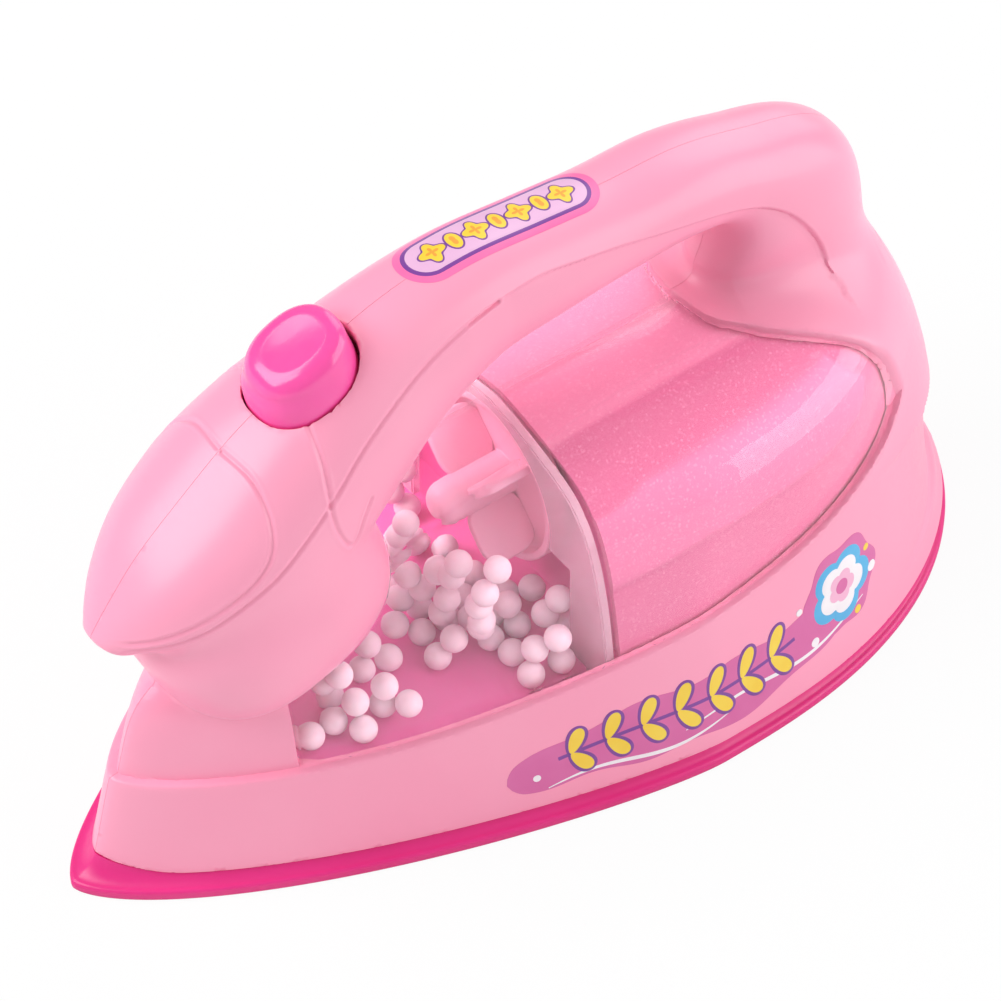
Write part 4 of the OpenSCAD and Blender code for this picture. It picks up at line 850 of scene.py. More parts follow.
def makeLiners():
    # a sheet laid along the dome's inside, one cross section after another, then given its wall
    xs = np.linspace(liner["front"], liner["rear"], liner["columns"])
    outer, inner = [], []
    for inward, rows in ((liner["offset"], outer), (liner["offset"] + liner["wall"], inner)):
        for x in xs:
            y, z = domeArc(x, inward, rimHeight(x) - liner["tuck"], liner["rows"])
            rows.append(np.column_stack([np.full_like(y, x), -y, z]))
    outer, inner = np.array(outer), np.array(inner)
    # the raised field between two folds along the sheet, and its crown over the window's ridge; the field is raised for
    # real and also painted lighter as highlight, the crown and the strip under the lower fold are painted lighter too,
    # and the plain sheet stays darker as painted shade
    x, y, z = np.moveaxis(outer, 2, 0)
    upper, lower = (np.interp(x, *np.array(liner[k]).T) for k in ("upperFold", "lowerFold"))
    field = smooth((upper - z) / 0.9 + 0.5) * smooth((z - lower) / 0.9 + 0.5)
    field *= smooth((liner["fieldRear"] - x) / 1.5)
    crown = smooth((liner["crownWide"] + y) / 1.2) * smooth((z - liner["crownLow"]) / 3)
    plain, onField, onCrown, onFoot = liner["shade"]
    # painted light and shade: lighter over the field, the crown and the foot, darker on the plain sheet
    paintedFoldShade = plain + onField * field + onCrown * crown + onFoot * smooth((lower - z) / 1.4)
    away = np.stack([np.zeros_like(x), y, z - 30], -1)
    outer += away / np.linalg.norm(away, axis=2, keepdims=True) * (liner["raise"] * field)[..., None]
    outer[:, -1, 1] = inner[:, -1, 1] = -body["gap"]
    n, m = liner["columns"], liner["rows"]
    points = np.vstack([outer.reshape(-1, 3), inner.reshape(-1, 3)])
    faces = [gridFaces(n, m, flip=True), gridFaces(n, m) + n * m]
    edge = np.concatenate([np.arange(m - 1), np.arange(n - 1) * m + m - 1, (n - 1) * m + np.arange(m - 1, 0, -1),
                           np.arange(n - 1, 0, -1) * m])
    nxt = np.roll(edge, -1)
    faces.append(np.stack([edge, nxt, nxt + n * m, edge + n * m], 1))
    faces = outward(points, np.vstack(faces))
    for sheet in addHalves("liner", points, faces, "formedGlitterSheet", 40, "liner"):
        mark = sheet.data.attributes.new("paintedFoldShade", "FLOAT", "POINT")
        mark.data.foreach_set("value", np.tile(paintedFoldShade.ravel(), 2).astype(np.float32))


makeLiners()
print("liners made")

partition = {"front": -3.8, "rear": -2.2, "offset": 2.65, "floor": 19.0, "arch": 14.6, "archZ": 39.4, "leg": 19.5,
             "legTop": 36.5, "round": 0.25}


def makePartition():
    # a clear wall: the dome's cross section outside, the arch and its square legs inside, as one closed strip with
    # rounded edges
    p = partition
    x = (p["front"] + p["rear"]) / 2
    oy, oz = domeArc(x, p["offset"], p["floor"], 90)
    start = math.asin((p["legTop"] - p["archZ"]) / p["arch"])
    a = np.linspace(start, math.pi / 2, 46)
    iy = np.concatenate([[p["leg"], p["leg"]], p["arch"] * np.cos(a)])
    iz = np.concatenate([[p["floor"], p["legTop"]], p["archZ"] + p["arch"] * np.sin(a)])
    # the outline goes up the right side to the crest, down the left, and back through the arch
    right, inside = np.column_stack([oy, oz]), np.column_stack([iy, iz])
    loop = np.vstack([right, (right[:-1] * (-1, 1))[::-1], inside * (-1, 1), inside[:-1][::-1]])
    bm = bmesh.new()
    verts = [bm.verts.new((p["front"], y, z)) for y, z in loop]
    face = bm.faces.new(verts)
    solid = bmesh.ops.extrude_face_region(bm, geom=[face])
    bmesh.ops.translate(bm, verts=[g for g in solid["geom"] if isinstance(g, bmesh.types.BMVert)],
                        vec=(p["rear"] - p["front"], 0, 0))
    bmesh.ops.recalc_face_normals(bm, faces=bm.faces[:])
    edges = [e for e in bm.edges if abs(e.verts[0].co.x - e.verts[1].co.x) < 1e-6]
    bmesh.ops.bevel(bm, geom=edges, offset=p["round"], segments=2, affect="EDGES", clamp_overlap=True)
    bmesh.ops.triangulate(bm, faces=[f for f in bm.faces if len(f.verts) > 4])
    bm.verts.index_update()
    points = np.array([v.co for v in bm.verts])
    faces = [[v.index for v in f.verts] for f in bm.faces]
    bm.free()
    addPiece("archPartition", points, faces, "iron", palette["frostedClearStyrene"], 35, ("partition",))


makePartition()
print("partition made")

fan = {"z": 39.4, "face": -1.0, "disc": 14.0, "thick": 1.6, "rimHeight": 2.2, "rimWidth": 1.3, "hub": 3.4,
       "hubLength": 13.0, "nose": 3.0,
       "bore": 1.0, "paddles": 4, "paddleThick": 1.4, "paddleReach": 12.0, "paddleLength": 9.0, "paddleRound": 3.5}


def turned(profile, segments, z):
    # a closed profile of (x, radius) turned about the fan's axis
    a = np.arange(segments) / segments * 2 * math.pi
    x, r = np.array(profile, float).T
    points = np.stack([np.repeat(x[:, None], segments, 1), r[:, None] * np.cos(a), z + r[:, None] * np.sin(a)], -1)
    faces = gridFaces(len(x), segments, aroundRows=True, aroundColumns=True)
    return points.reshape(-1, 3), faces


def rounded(corners, radius, steps):
    # a closed outline whose corners are eased by short quadratic curves: (1-t)^2 a + 2t(1-t) c + t^2 b
    corners = np.array(corners, float)
    before, after = np.roll(corners, 1, 0) - corners, np.roll(corners, -1, 0) - corners
    out = []
    for c, b, a in zip(corners, before, after):
        lb, la = np.linalg.norm(b), np.linalg.norm(a)
        cutting = min(radius, lb * 0.45, la * 0.45)
        p, q = c + b / lb * cutting, c + a / la * cutting
        t = np.linspace(0, 1, steps + 1)[:, None]
        out.append((1 - t) ** 2 * p + 2 * t * (1 - t) * c + t * t * q)
    return np.vstack(out)


def makeFan():
    f = fan
    x0 = f["face"]
    rim = x0 - f["rimHeight"]
    profile = [(x0 + f["thick"], f["bore"]), (x0 + f["thick"], f["disc"]), (rim, f["disc"]),
               (rim, f["disc"] - f["rimWidth"]),
               (x0, f["disc"] - f["rimWidth"]), (x0, f["hub"]), (x0 - f["hubLength"] + f["nose"], f["hub"])]
    a = np.linspace(0, 1, 7)[1:] * math.pi / 2
    tip = x0 - f["hubLength"] + f["nose"]
    profile += [(tip - f["nose"] * math.sin(t), f["hub"] * (0.38 + 0.62 * math.cos(t))) for t in a]
    profile += [(tip - f["nose"], 0.02), (x0 - f["hubLength"] / 2, 0.02), (x0 - f["hubLength"] / 2, f["bore"])]
    main = rounded(profile[:7], 0.35, 3)
    profile = np.vstack([main, profile[7:]])
    points, faces = turned(profile, 96, f["z"])
    parts = [(points, outward(points, faces).tolist())]
    outline = rounded([(x0 + 0.2, 2.4), (x0 + 0.2, f["paddleReach"]), (x0 - f["paddleLength"], f["paddleReach"]),
                       (x0 - f["paddleLength"], 2.4)], f["paddleRound"], 10)
    centre = outline.mean(0)
    levels = [(-0.5, 0.35), (-0.42, 0.12), (-0.28, 0.0), (0.28, 0.0), (0.42, 0.12), (0.5, 0.35)]
    for k in range(f["paddles"]):
        turn = math.radians(45 + 360 * k / f["paddles"])
        rows = []
        for share, inset in levels:
            away = outline - centre
            ring = outline - away / np.linalg.norm(away, axis=1, keepdims=True) * inset
            x, r, t = ring[:, 0], ring[:, 1], share * f["paddleThick"]
            rows.append(np.column_stack([x, r * math.cos(turn) - t * math.sin(turn),
                                         f["z"] + r * math.sin(turn) + t * math.cos(turn)]))
        n = len(outline)
        points = np.vstack(rows)
        faces = gridFaces(len(levels), n, aroundColumns=True).tolist()
        faces += [list(range(n))[::-1], [(len(levels) - 1) * n + j for j in range(n)]]
        parts.append((points, faces))
    total, every = [], []
    for points, faces in parts:
        shift = sum(len(p) for p in total)
        total.append(points)
        every += [[k + shift for k in q] for q in faces]
    piece = addPiece("fanWheel", np.vstack(total), every, "fan", palette["mouldedFanAbs"], 40, ("impeller",))
    faceOutward(piece, 40)


makeFan()
print("fan made")

beads = {"radius": 2.12, "rings": 14, "around": 24, "centres": (
    (-44.9, -11.8, 21.2), (-38, -15.3, 21.2), (-40.6, -11.5, 21.2), (-32.9, -13.1, 21.2), (-30.7, -16.5, 22.9),
    (-37.7, -13, 24.8), (-38.2, -7.2, 21.2), (-32.9, -13.6, 25.5), (-39.5, -7.5, 25.4), (-38.5, -10.2, 28.7),
    (-12.2, -21.5, 21.2), (-31.6, -6, 21.2), (-6.9, -21.9, 21.2), (-27.1, -6.5, 21.2), (-21.1, -10.6, 21.2),
    (-11.9, -16.5, 21.2), (-10.9, -20.7, 25.2), (-30, -5.3, 25.1), (-19, -11.8, 24.8), (-12.7, -12.3, 21.2),
    (-8.4, -22.9, 27.9), (-20.2, -5.4, 21.2), (-23.4, -3.1, 22.9), (-8, -12.6, 21.2), (-2.3, -16.5, 21.2),
    (-15.6, -5.2, 21.2), (-14.2, -9.6, 24.2), (-10, -8.7, 21.2), (-5.1, -15.6, 24.4), (-17.5, -1.1, 21.2),
    (-8.9, -11.4, 25.2), (-17.5, -8.1, 29.3), (-20.4, -0.4, 24.4), (-3.8, -17.2, 28.2), (-11.2, -3.5, 21.2),
    (-17.4, -17.3, 38.7), (-5.7, -6.6, 21.2), (-18.1, -2.7, 27.2), (-2.7, -9.2, 22.7), (-18.4, 4.5, 21.2),
    (-20.2, -2, 30.9), (-7.3, -0.7, 21.2), (-10.9, 3.3, 21.2), (-15.3, -17.5, 42.6), (-17.4, -10.9, 39.3),
    (-7.5, 6.1, 21.2), (-10.3, 9.9, 21.2), (-13.5, 9.8, 24), (-17.4, 2.1, 36.6), (-7, 16.4, 21.2), (-8.9, 17.8, 24.8),
    (-6.9, 17.4, 28.5), (-17.6, -6.9, 25.2), (-17.4, -15.8, 34.8), (-17.5, -9.3, 35.4), (-17.4, 3.6, 32.7),
    (-16.6, -15.4, 30.6), (-17.5, -5.7, 33.1), (-17.5, 5, 28.6), (-15.4, -13.6, 26.9), (-17.4, 7, 24.9),
)}


def makeBeads():
    # a ball carried to each centre: latitude rings between two poles, each with its own turn
    lat = np.linspace(0, math.pi, beads["rings"] + 1)[1:-1]
    lon = np.arange(beads["around"]) / beads["around"] * 2 * math.pi
    ball = np.stack([np.sin(lat)[:, None] * np.cos(lon), np.sin(lat)[:, None] * np.sin(lon),
                     np.repeat(np.cos(lat)[:, None], len(lon), 1)], -1).reshape(-1, 3)
    ball = np.vstack([ball, [(0, 0, 1), (0, 0, -1)]])
    n, m = len(lat), len(lon)
    top = [[j, (j + 1) % m, n * m] for j in range(m)]
    low = [[(n - 1) * m + (j + 1) % m, (n - 1) * m + j, n * m + 1] for j in range(m)]
    centres = np.array(beads["centres"], float)
    rng = np.random.default_rng(5)
    sizes = beads["radius"] * rng.uniform(0.965, 1.0, len(centres))
    turns = rng.normal(size=(len(centres), 3, 3))
    turns = np.linalg.qr(turns)[0]
    turns *= np.sign(np.linalg.det(turns))[:, None, None]
    points = centres[:, None] + sizes[:, None, None] * np.einsum("nij,pj->npi", turns, ball)
    one = gridFaces(n, m, aroundColumns=True).tolist() + top + low
    faces = [[k + i * len(ball) for k in q] for i in range(len(centres)) for q in one]
    piece = addPiece("looseBeads", points, faces, "iron", palette["expandedFoam"], None, ("foam_beads",))
    faceOutward(piece)
    print("beads:", len(centres))


makeBeads()


def makeButton():
    # rings of a superellipse up the leaning button, over the round of its edge and in across the slightly dished top
    b = button
    n = b["segments"]
    a = np.arange(n) / n * 2 * math.pi
    across, along = (np.sign(c) * np.abs(c) ** (2 / b["corners"]) for c in (np.cos(a), np.sin(a)))
    shoulder = b["height"] - b["round"]
    rows = [(b["low"], 0.0, 0.0, 1.0), (b["low"] + 0.01, 0.0, 0.0, 1.0), (0, 0, 0, 1),
            (b["height"] * 0.3, b["taper"] * 0.5, 0.5, 1),
            (shoulder, b["taper"], 1, 1)]
    for t in np.linspace(0, math.pi / 2, 12)[1:]:
        rows.append((b["height"] - b["round"] * (1 - math.sin(t)), b["taper"] + b["round"] * (1 - math.cos(t)), 1, 1))
    for s in np.linspace(1, 0, 12)[1:]:
        rows.append((b["height"] - b["dish"] * (1 - s * s), b["taper"] + b["round"], 1, max(s, 0.001)))
    rings = []
    for z, inset, lean, share in rows:
        x = (b["halfLength"] - inset) * across * share
        y = (b["halfWidth"] - inset) * along * share
        rings.append(np.column_stack([x, y, z + lean * x * b["rise"] / b["halfLength"]]))
    grown = lambda grow, z, s=1: np.column_stack([
        (b["halfLength"] + grow) * across * s, (b["halfWidth"] + grow) * along * s, np.full(n, z)])
    ceiling = shoulder - b["wall"]
    under = [grown(-b["wall"], z, s) for s, z in ((1, b["low"]), (1, ceiling), (0.001, ceiling))]
    points = np.array(under[::-1] + rings)
    cap = gridFaces(len(points), n, aroundColumns=True).tolist()
    points = points.reshape(-1, 3)
    cap += [list(range(n))[::-1], [len(points) - n + j for j in range(n)]]
    # under the cap: the stem with the spring's boss, and the flange that keeps the button in
    m = 40
    stem = np.vstack([np.column_stack([circle(0, 0, r, m), np.full(m, z)]) for r, z in b["stem"]])
    stemFaces = gridFaces(len(b["stem"]), m, aroundColumns=True) + len(points)
    edges = [(b["gap"] + out, b["low"] - down) for out, down in b["flange"]]
    flange = [grown(grow, z) for grow, z in [(-b["wall"], b["low"])] + edges + [(-b["wall"], edges[-1][1])]]
    flangeFaces = gridFaces(4, n, aroundRows=True, aroundColumns=True, flip=True) + len(points) + len(stem)
    every = np.vstack([points, stem, np.vstack(flange)])
    # leaned with the head
    c, s = math.cos(math.radians(b["tilt"])), math.sin(math.radians(b["tilt"]))
    every = np.column_stack([b["x"] + every[:, 0] * c - every[:, 2] * s, every[:, 1],
                             b["z"] + every[:, 0] * s + every[:, 2] * c])
    faces = cap + stemFaces.tolist() + flangeFaces.tolist()
    piece = addPiece("pushButton", every, faces, "push_button", palette["polishedButtonAbs"], 50,
                     ("button",))
    faceOutward(piece, 50)


makeButton()
print("button made")
sole = {
    "nose": 80.0, "heel": 80.0, "half": 38.69, "points": 240,
    "edge": ((0.0, 0.75), (0.0, 0.5), (0.06, 0.27), (0.2, 0.1), (0.42, 0.01), (0.7, 0.0), (1.1, 0.0), (1.4, 0.04),
             (1.63, 0.16), (1.8, 0.36), (1.88, 0.62)),
    "door": (3.4, 66.3, 17.5, 1.7), "bay": (7.0, 63.0, 15.6), "feet": ((-52, 9.28), (-3.2, 28.16), (61.6, 20.8)),
    "doorScrew": 2.4,
    "screwHole": 1.36, "screwHead": 2.72, "footInset": 0.7, "dish": (0, 0.15, 0.3, 0.45, 0.6, 0.75, 0.88, 1.0),
}


def outlineShare(t):
    # half width of the plan outline as a share: (1 - u^bow)^(1/full), nose and heel with their own bow and fullness
    d = domeShape
    front = t < d["widestShare"]
    u = np.where(front, (d["widestShare"] - t) / d["widestShare"], (t - d["widestShare"]) / (1 - d["widestShare"]))
    bow, full = np.where(front, d["noseBow"], d["heelBow"]), np.where(front, d["noseFull"], d["heelFull"])
    return np.maximum(0, 1 - eased(np.maximum(u, 0)) ** bow) ** (1 / full)


def outlineRing(nose, heel, half, z, n):
    # evenly turned points round the plan outline, from the nose along +Y and back along -Y
    k = np.arange(2 * n)
    i = np.where(k <= n, k, 2 * n - k)
    t = (1 - np.cos(math.pi * i / n)) / 2
    y = np.where(k <= n, 1, -1) * half * outlineShare(t)
    return np.column_stack([-nose + t * (nose + heel), y, np.broadcast_to(z, t.shape)])


def prism(outline, low, high):
    # an upright closed prism as a mesh in metres, to cut with
    n = len(outline)
    mesh = bpy.data.meshes.new("cutter")
    points = [(x / 1000, y / 1000, z / 1000) for z in (low, high) for x, y in outline]
    faces = [list(range(n))[::-1], list(range(n, 2 * n))] + [[k, (k + 1) % n, (k + 1) % n + n, k + n] for k in range(n)]
    mesh.from_pydata(points, [], faces)
    return addObject("cutter", mesh)


def makeSole():
    # the edge's rounded profile carried round the outline, then a dish that rises to the skirt's foot, and a platform
    # inside
    s = sole
    n = s["points"]
    rings = [outlineRing(s["nose"] - d, s["heel"] - d, s["half"] - d, z, n) for z, d in s["edge"]]
    rows = domeShape["rows"][0]
    foot = outlineRing(*(rows[k] - s["footInset"] for k in (1, 2, 3)), 0, n)
    lift = np.clip((-foot[:, 0] - body["liftFrom"] - 0.4) / body["liftOver"], 0, 1) ** 2
    foot[:, 2] = body["skirtLow"] - 0.04 + body["noseLift"] * lift
    start = outlineRing(s["nose"] - 0.9, s["heel"] - 0.62, s["half"] - 0.8, 1.89, n)
    # where the foot would stand out past the edge, the dish starts just outside the foot
    spread = lambda ring: np.linalg.norm(ring[:, :2] / (80, 38), axis=1)[:, None]
    start[:, :2] = np.where(spread(foot) > spread(start), foot[:, :2] * 1.001, start[:, :2])
    for share in s["dish"]:
        ring = start * (1 - share) + foot * share
        ring[:, 2] = start[:, 2] + (foot[:, 2] - start[:, 2]) * (0.25 * share + 0.75 * share**2.2)
        rings.append(ring)
    rings.append(outlineRing(rows[1] - 5, rows[2] - 5, rows[3] - 4, 3.36, n))
    count = 2 * n
    points = np.vstack(rings)
    faces = gridFaces(len(rings), count, aroundColumns=True, flip=True).tolist()
    faces += [list(range(count)), [(len(rings) - 1) * count + k for k in range(count)][::-1]]
    bm = bmesh.new()
    spots = [bm.verts.new(p / 1000) for p in points]
    for f in faces:
        bm.faces.new([spots[k] for k in f])
    bmesh.ops.remove_doubles(bm, verts=bm.verts[:], dist=1e-6)
    bmesh.ops.recalc_face_normals(bm, faces=bm.faces[:])
    mesh = bpy.data.meshes.new("plate")
    bm.to_mesh(mesh)
    bm.free()
    plate = addObject("plate", mesh)
    # the door's recess, the bay and the screws' holes, each cut from below the plate
    door, bay = ([(x0, -y), (x1, -y), (x1, y), (x0, y)] for x0, x1, y in (s["door"][:3], s["bay"]))
    cutters = [prism(door, -1, s["door"][3]), prism(bay, -1.5, 9)]
    for x, y in s["feet"]:
        for side in (-1, 1):
            cutters += [prism(circle(x, side * y, s["screwHole"]), -2, 9),
                        prism(circle(x, side * y, s["screwHead"]), -1, 1.5)]
    cutters.append(prism(circle(s["doorScrew"], 0, s["screwHole"]), -2, 9))
    for cutter in cutters:
        cut = plate.modifiers.new("cut", "BOOLEAN")
        cut.operation, cut.solver, cut.object = "DIFFERENCE", "EXACT", cutter
    done = plate.evaluated_get(bpy.context.evaluated_depsgraph_get()).to_mesh()
    points = np.empty(len(done.vertices) * 3)
    done.vertices.foreach_get("co", points)
    faces = [list(p.vertices) for p in done.polygons]
    for thing in [plate] + cutters:
        bpy.data.objects.remove(thing)
    addPiece("solePlateSmooth", points.reshape(-1, 3) * 1000, faces, "iron",
             palette["mouldedMagentaAbs"], 40, ("sole_plate",))


makeSole()
print("sole made")


filmDepth = 0.05  # how far a film's edge dips under the surface that it lies on, in mm


def patch(surface, rows):
    # rows of (u, v, h) points, from the middle outwards, laid on a surface and closed by a rim that dips under it
    rows = [np.asarray(r, float) for r in rows]
    rim = rows[-1].copy()
    rim[:, 2] = -filmDepth
    under = rows[0].copy()
    under[:, 2] = -filmDepth
    rows = rows + [rim, under]
    flat = np.vstack(rows)
    return surface(flat[:, 0], flat[:, 1], flat[:, 2]), gridFaces(len(rows), len(rows[0]), True, True)


def blob(surface, outline, centre, height, steps):
    # a flat patch with a star-shaped outline: the outline shrunk towards its centre ring by ring
    outline, centre = np.asarray(outline, float), np.asarray(centre, float)
    rows = []
    for s in np.append(np.linspace(0.002, 0.985, steps), 1.0):
        uv = centre + (outline - centre) * s
        rows.append(np.column_stack([uv, np.full(len(uv), height if s < 1 else height * 0.6)]))
    return patch(surface, rows)


def spot(surface, u, v, r, height, steps, n):
    # a round or star-shaped patch about its middle
    return blob(surface, circle(u, v, r, n), (u, v), height, steps)


def ribbon(surface, spine, half, height, across):
    # a strip along a line of (u, v) with its own half width at each point, closed all round
    spine, half = np.asarray(spine, float), np.asarray(half, float)
    along = np.gradient(spine, axis=0)
    normal = np.column_stack([-along[:, 1],
                              along[:, 0]]) / np.maximum(np.linalg.norm(along, axis=1, keepdims=True), 1e-9)
    shares = np.linspace(-1, 1, across)
    rows = [np.column_stack([spine + normal * (half * s)[:, None], np.full(len(spine), height)]) for s in shares]
    rows += [r * (1, 1, 0) - (0, 0, filmDepth) for r in rows[::-1]]
    flat = np.vstack(rows)
    n = len(spine)
    faces = gridFaces(len(rows), n, aroundRows=True).tolist()
    m = 2 * across
    faces += [[k * n for k in range(m)], [k * n + n - 1 for k in range(m)][::-1]]
    return surface(flat[:, 0], flat[:, 1], flat[:, 2]), faces


def joinPatches(name, groups, replaced, mirrored=False):
    # several patches of several inks in one piece
    points, faces, inks, ink = [], [], [], []
    shift = 0
    for material, (p, f) in groups:
        if material not in inks:
            inks.append(material)
        f = f.tolist() if isinstance(f, np.ndarray) else f
        points.append(p)
        faces += [[k + shift for k in q] for q in f]
        ink += [inks.index(material)] * len(f)
        shift += len(p)
    points = np.vstack(points) * ((1, -1, 1) if mirrored else (1, 1, 1))
    piece = addPiece(name, points, faces, "iron", [palette[m] for m in inks], 35, replaced)
    piece.data.polygons.foreach_set("material_index", np.array(ink, dtype=np.int32))
    faceOutward(piece)


# printed vinyl film: flat even ink under a gloss varnish, with a faint print drift
inks = {
    "filmPink": ("#FF6FAE", "#FF79B3"), "filmPurple": ("#7A3E98", "#84479F"), "filmLilac": ("#E9B5DC", "#EDBCE0"),
    "filmYellow": ("#F6CF3A", "#FADB50"), "filmOrange": ("#F0A23C", "#F3AC4A"), "filmRose": ("#D966A4", "#DD6EAA"),
    "filmWhite": ("#F4EEF3", "#FBF7FA"), "filmBlue": ("#49AEE2", "#58BAE9"), "filmPale": ("#F3B3D2", "#F6BCD8"),
}
for name, colors in inks.items():
    palette[name] = mottled(name, {"colors": colors, "roughness": (0.285, 0.33), "driftMm": 6, "grainMm": 3})

label = {
    "x": -1.2, "y": 1.5, "length": 34.0, "width": 10.0, "border": 1.1, "ring": 0.62, "motif": 0.88, "motifs": 7,
    "motifStep": 4.25,
    "outline": 0.34, "leafHeart": -1.25, "lensHeart": -0.85,  # how far each motif's dark edge and its middle reach
}


def gripTop(x, y):
    # height of the handle's top over a point of the plan
    return sum(search(lambda z: headField(x, y, z) > 0, np.broadcast(x, y).shape, 78, 92, 24)) / 2


def onGrip(u, v, h):
    z = gripTop(u, v)
    e = 0.3
    n = np.column_stack([gripTop(u - e, v) - gripTop(u + e, v), gripTop(u, v - e) - gripTop(u, v + e),
                         np.full(len(u), 2 * e)])
    return np.column_stack([u, v, z]) + n / np.linalg.norm(n, axis=1, keepdims=True) * h[:, None]


def pill(length, width, n=120):
    # a straight middle between two half circles, evenly spaced
    r, half = width / 2, length / 2 - width / 2
    a = np.linspace(-math.pi / 2, math.pi / 2, n // 3)
    right = np.column_stack([half + r * np.cos(a), r * np.sin(a)])
    k = np.linspace(half, -half, n // 6 + 1)[1:-1]
    top = np.column_stack([k, np.full(len(k), r)])
    return np.vstack([right, top, -right, -top])


def makeLabel():
    p = label
    groups = []
    for ink, height, cut in (("filmPink", 0.05, 0), ("filmPurple", 0.065, p["border"]),
                             ("filmLilac", 0.08, p["border"] + p["ring"])):
        outline = pill(p["length"] - 2 * cut, p["width"] - 2 * cut) + (p["x"], p["y"])
        groups.append((ink, blob(onGrip, outline, (p["x"], p["y"]), height, 9)))
    a = np.arange(48) / 48 * 2 * math.pi
    for k in range(p["motifs"]):
        u = p["x"] + p["motifStep"] * p["motif"] * (k - p["motifs"] // 2)
        if k % 2:  # a plain lens
            r, heart = 2.0 / np.sqrt((np.cos(a) / 0.62) ** 2 + np.sin(a) ** 2), p["lensHeart"]
        else:  # a rounded four-leaf shape
            r, heart = 2.5 * (0.80 + 0.20 * np.cos(4 * a)), p["leafHeart"]
        for ink, grow, height in (("filmPurple", p["outline"], 0.095), ("filmYellow", 0.0, 0.11),
                                  ("filmOrange", heart, 0.125)):
            rr = np.maximum(r + grow, 0.25) * p["motif"]
            groups.append((ink, spot(onGrip, u, p["y"], rr, height, 3, len(a))))
    joinPatches("handlePill", groups, ("handle_label",))


makeLabel()
print("label made")


def onSkirt(u, v, h):
    # u along the skirt, v its height, h out of its left side
    y = domeSide(u, v, 0.0)
    e = 0.3
    n = np.column_stack([domeSide(u - e, v, 0.0) - domeSide(u + e, v, 0.0), np.full(len(u), 2 * e),
                         domeSide(u, v - e, 0.0) - domeSide(u, v + e, 0.0)])
    n /= np.linalg.norm(n, axis=1, keepdims=True)
    p = np.column_stack([u, y, v]) + n * (h + 0.015)[:, None]
    return p * (1, -1, 1)


sticker = {
    "band": (-22, 43), "bandLow": 9.0, "bandClimb": 0.092, "wave": 0.9, "waveLength": 9.5, "waveFrom": 24,
    "bandEnd": 1.3, "bandSwell": 4.1, "bandRipple": 0.5, "bandRound": 0.03,
    "flower": (37.5, 17.6), "lobe": 7.9, "lobeRipple": 0.5,
    "petals": (("filmBlue", 6.6, 1.6, 0.05), ("filmWhite", 5.0, 1.3, 0.065), ("filmPale", 2.9, 0.7, 0.08),
               ("filmRose", 1.3, 0.0, 0.095)),
    "stem": (-14, 27), "stemLow": 9.9, "stemClimb": 0.105, "stemHalf": 0.32,
    "pairs": 7, "firstPair": -12.0, "pairStep": 5.7, "leafLean": 58, "pairLean": 8, "leafHalf": 2.3, "leafGrow": 0.07,
    "leafFat": 1.1,
    "curls": ((-16, 6.9, 30, 1.2, 0.9), (6, 9.0, 36, 3.0, 1.0)),  # start, height, length, climb and wave
    "dots": ((31, 11.2, 0.8, "filmWhite"), (44.6, 16.2, 0.9, "filmWhite"), (28.4, 18.6, 0.6, "filmWhite"),
             (43.6, 20.6, 0.6, "filmYellow"), (40.6, 10.9, 0.7, "filmYellow"), (-17.5, 9.3, 0.6, "filmWhite")),
}


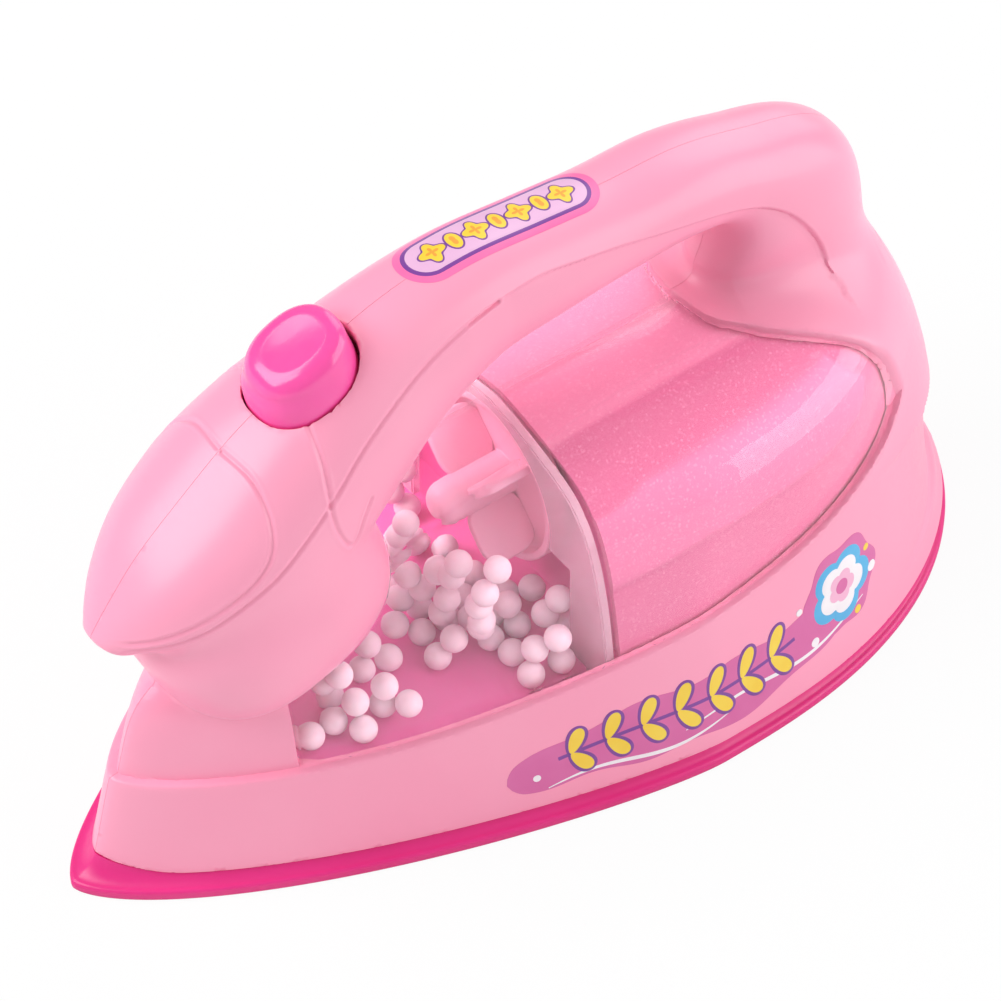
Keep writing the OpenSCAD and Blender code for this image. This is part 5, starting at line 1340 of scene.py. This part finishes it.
def makeStickers():
    p = sticker
    start = p["waveFrom"]
    climb = lambda s, low, rise: low + rise * (s + start) + p["wave"] * np.sin((s + start) / p["waveLength"])
    first, last = p["band"]
    s = np.linspace(first, last, 150)
    t = (s - first) / (last - first)
    wide = p["bandEnd"] + p["bandSwell"] * np.sin(math.pi * np.clip(t, 0, 1)) ** 0.55 + p["bandRipple"] * np.sin(t * 24)
    tip = lambda t: np.sqrt(1 - np.clip(1 - t / p["bandRound"], 0, 1) ** 2)
    wide *= tip(t) * tip(1 - t) + 0.02
    groups = [("filmRose", ribbon(onSkirt, np.column_stack([s, climb(s, p["bandLow"], p["bandClimb"])]), wide, 0.02,
                                  9))]
    n = 90
    a = np.arange(n) / n * 2 * math.pi
    groups.append(("filmRose", spot(onSkirt, *p["flower"], p["lobe"] + p["lobeRipple"] * np.cos(6 * a), 0.03, 8, n)))
    for ink, size, deep, height in p["petals"]:
        r = size - deep + deep * np.abs(np.cos(2.5 * a + 0.4)) ** 0.7
        groups.append((ink, spot(onSkirt, *p["flower"], r, height, 5, n)))
    # a garland of leaves in pairs along a rising stem
    stem = np.linspace(*p["stem"], 80)
    middle = climb(stem, p["stemLow"], p["stemClimb"])
    groups.append(("filmPurple", ribbon(onSkirt, np.column_stack([stem, middle]), np.full(80, p["stemHalf"]), 0.04, 3)))
    for k in range(p["pairs"]):
        u = p["firstPair"] + p["pairStep"] * k
        v = np.interp(u, stem, middle)
        length = p["leafHalf"] + p["leafGrow"] * k
        x, y = length + length * np.cos(a), p["leafFat"] * np.sin(a) * (1 + 0.25 * np.cos(a))
        for side in (1, -1):
            lean = math.radians(p["leafLean"] * side + p["pairLean"])
            c, q = math.cos(lean), math.sin(lean)
            for ink, grow, height in (("filmPurple", 1.22, 0.055), ("filmYellow", 1.0, 0.07)):
                gx, gy = length + (x - length) * (1 + (grow - 1) * 0.8), y * (1 + (grow - 1) * 2.2)
                outline = np.column_stack([u + gx * c - gy * q, v + gx * q + gy * c])
                groups.append((ink, blob(onSkirt, outline, (u + length * c, v + length * q), height, 3)))
    # two loose white curls, and dots
    for u, v, length, rise, wave in p["curls"]:
        q = np.linspace(0, 1, 60)
        line = np.column_stack([u + length * q, v + rise * q + wave * np.sin(q * 7)])
        groups.append(("filmWhite", ribbon(onSkirt, line, 0.28 * np.sin(math.pi * np.clip(q, 0.03, 0.97)) + 0.06, 0.045,
                                           3)))
    groups += [(ink, spot(onSkirt, u, v, r, 0.06, 3, 30)) for u, v, r, ink in p["dots"]]
    joinPatches("stickerLeft", groups, ("decal_left",))
    joinPatches("stickerRight", groups, ("decal_right",), mirrored=True)


makeStickers()
print("stickers made")

carried = {
    "mouldedMagentaAbs": ("battery_door",), "trayMagentaAbs": ("bulkhead", "tray"), "drawnMotorSteel": ("motor_can",),
    "mouldedWhiteNylon": ("battery_box", "switch_bracket", "switch_plunger"), "mouldedBlackNylon": ("switch_body",),
    "shrunkCellWrap": ("battery_right", "battery_left"),
    "drawnSpringSteel": ("door_screw", "contact_front", "contact_rear", "contact_spring_right", "contact_spring_left",
                         "motor_shaft",
                         "button_spring", "half_screws", "sole_screws"),
}
for finish, names in carried.items():
    for name in names:
        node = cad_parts[name]
        if not node.material_slots:
            node.data.materials.append(palette[finish])
        for place in node.material_slots:
            place.material = palette[finish]
print("carried nodes finished:", sum(map(len, carried.values())))
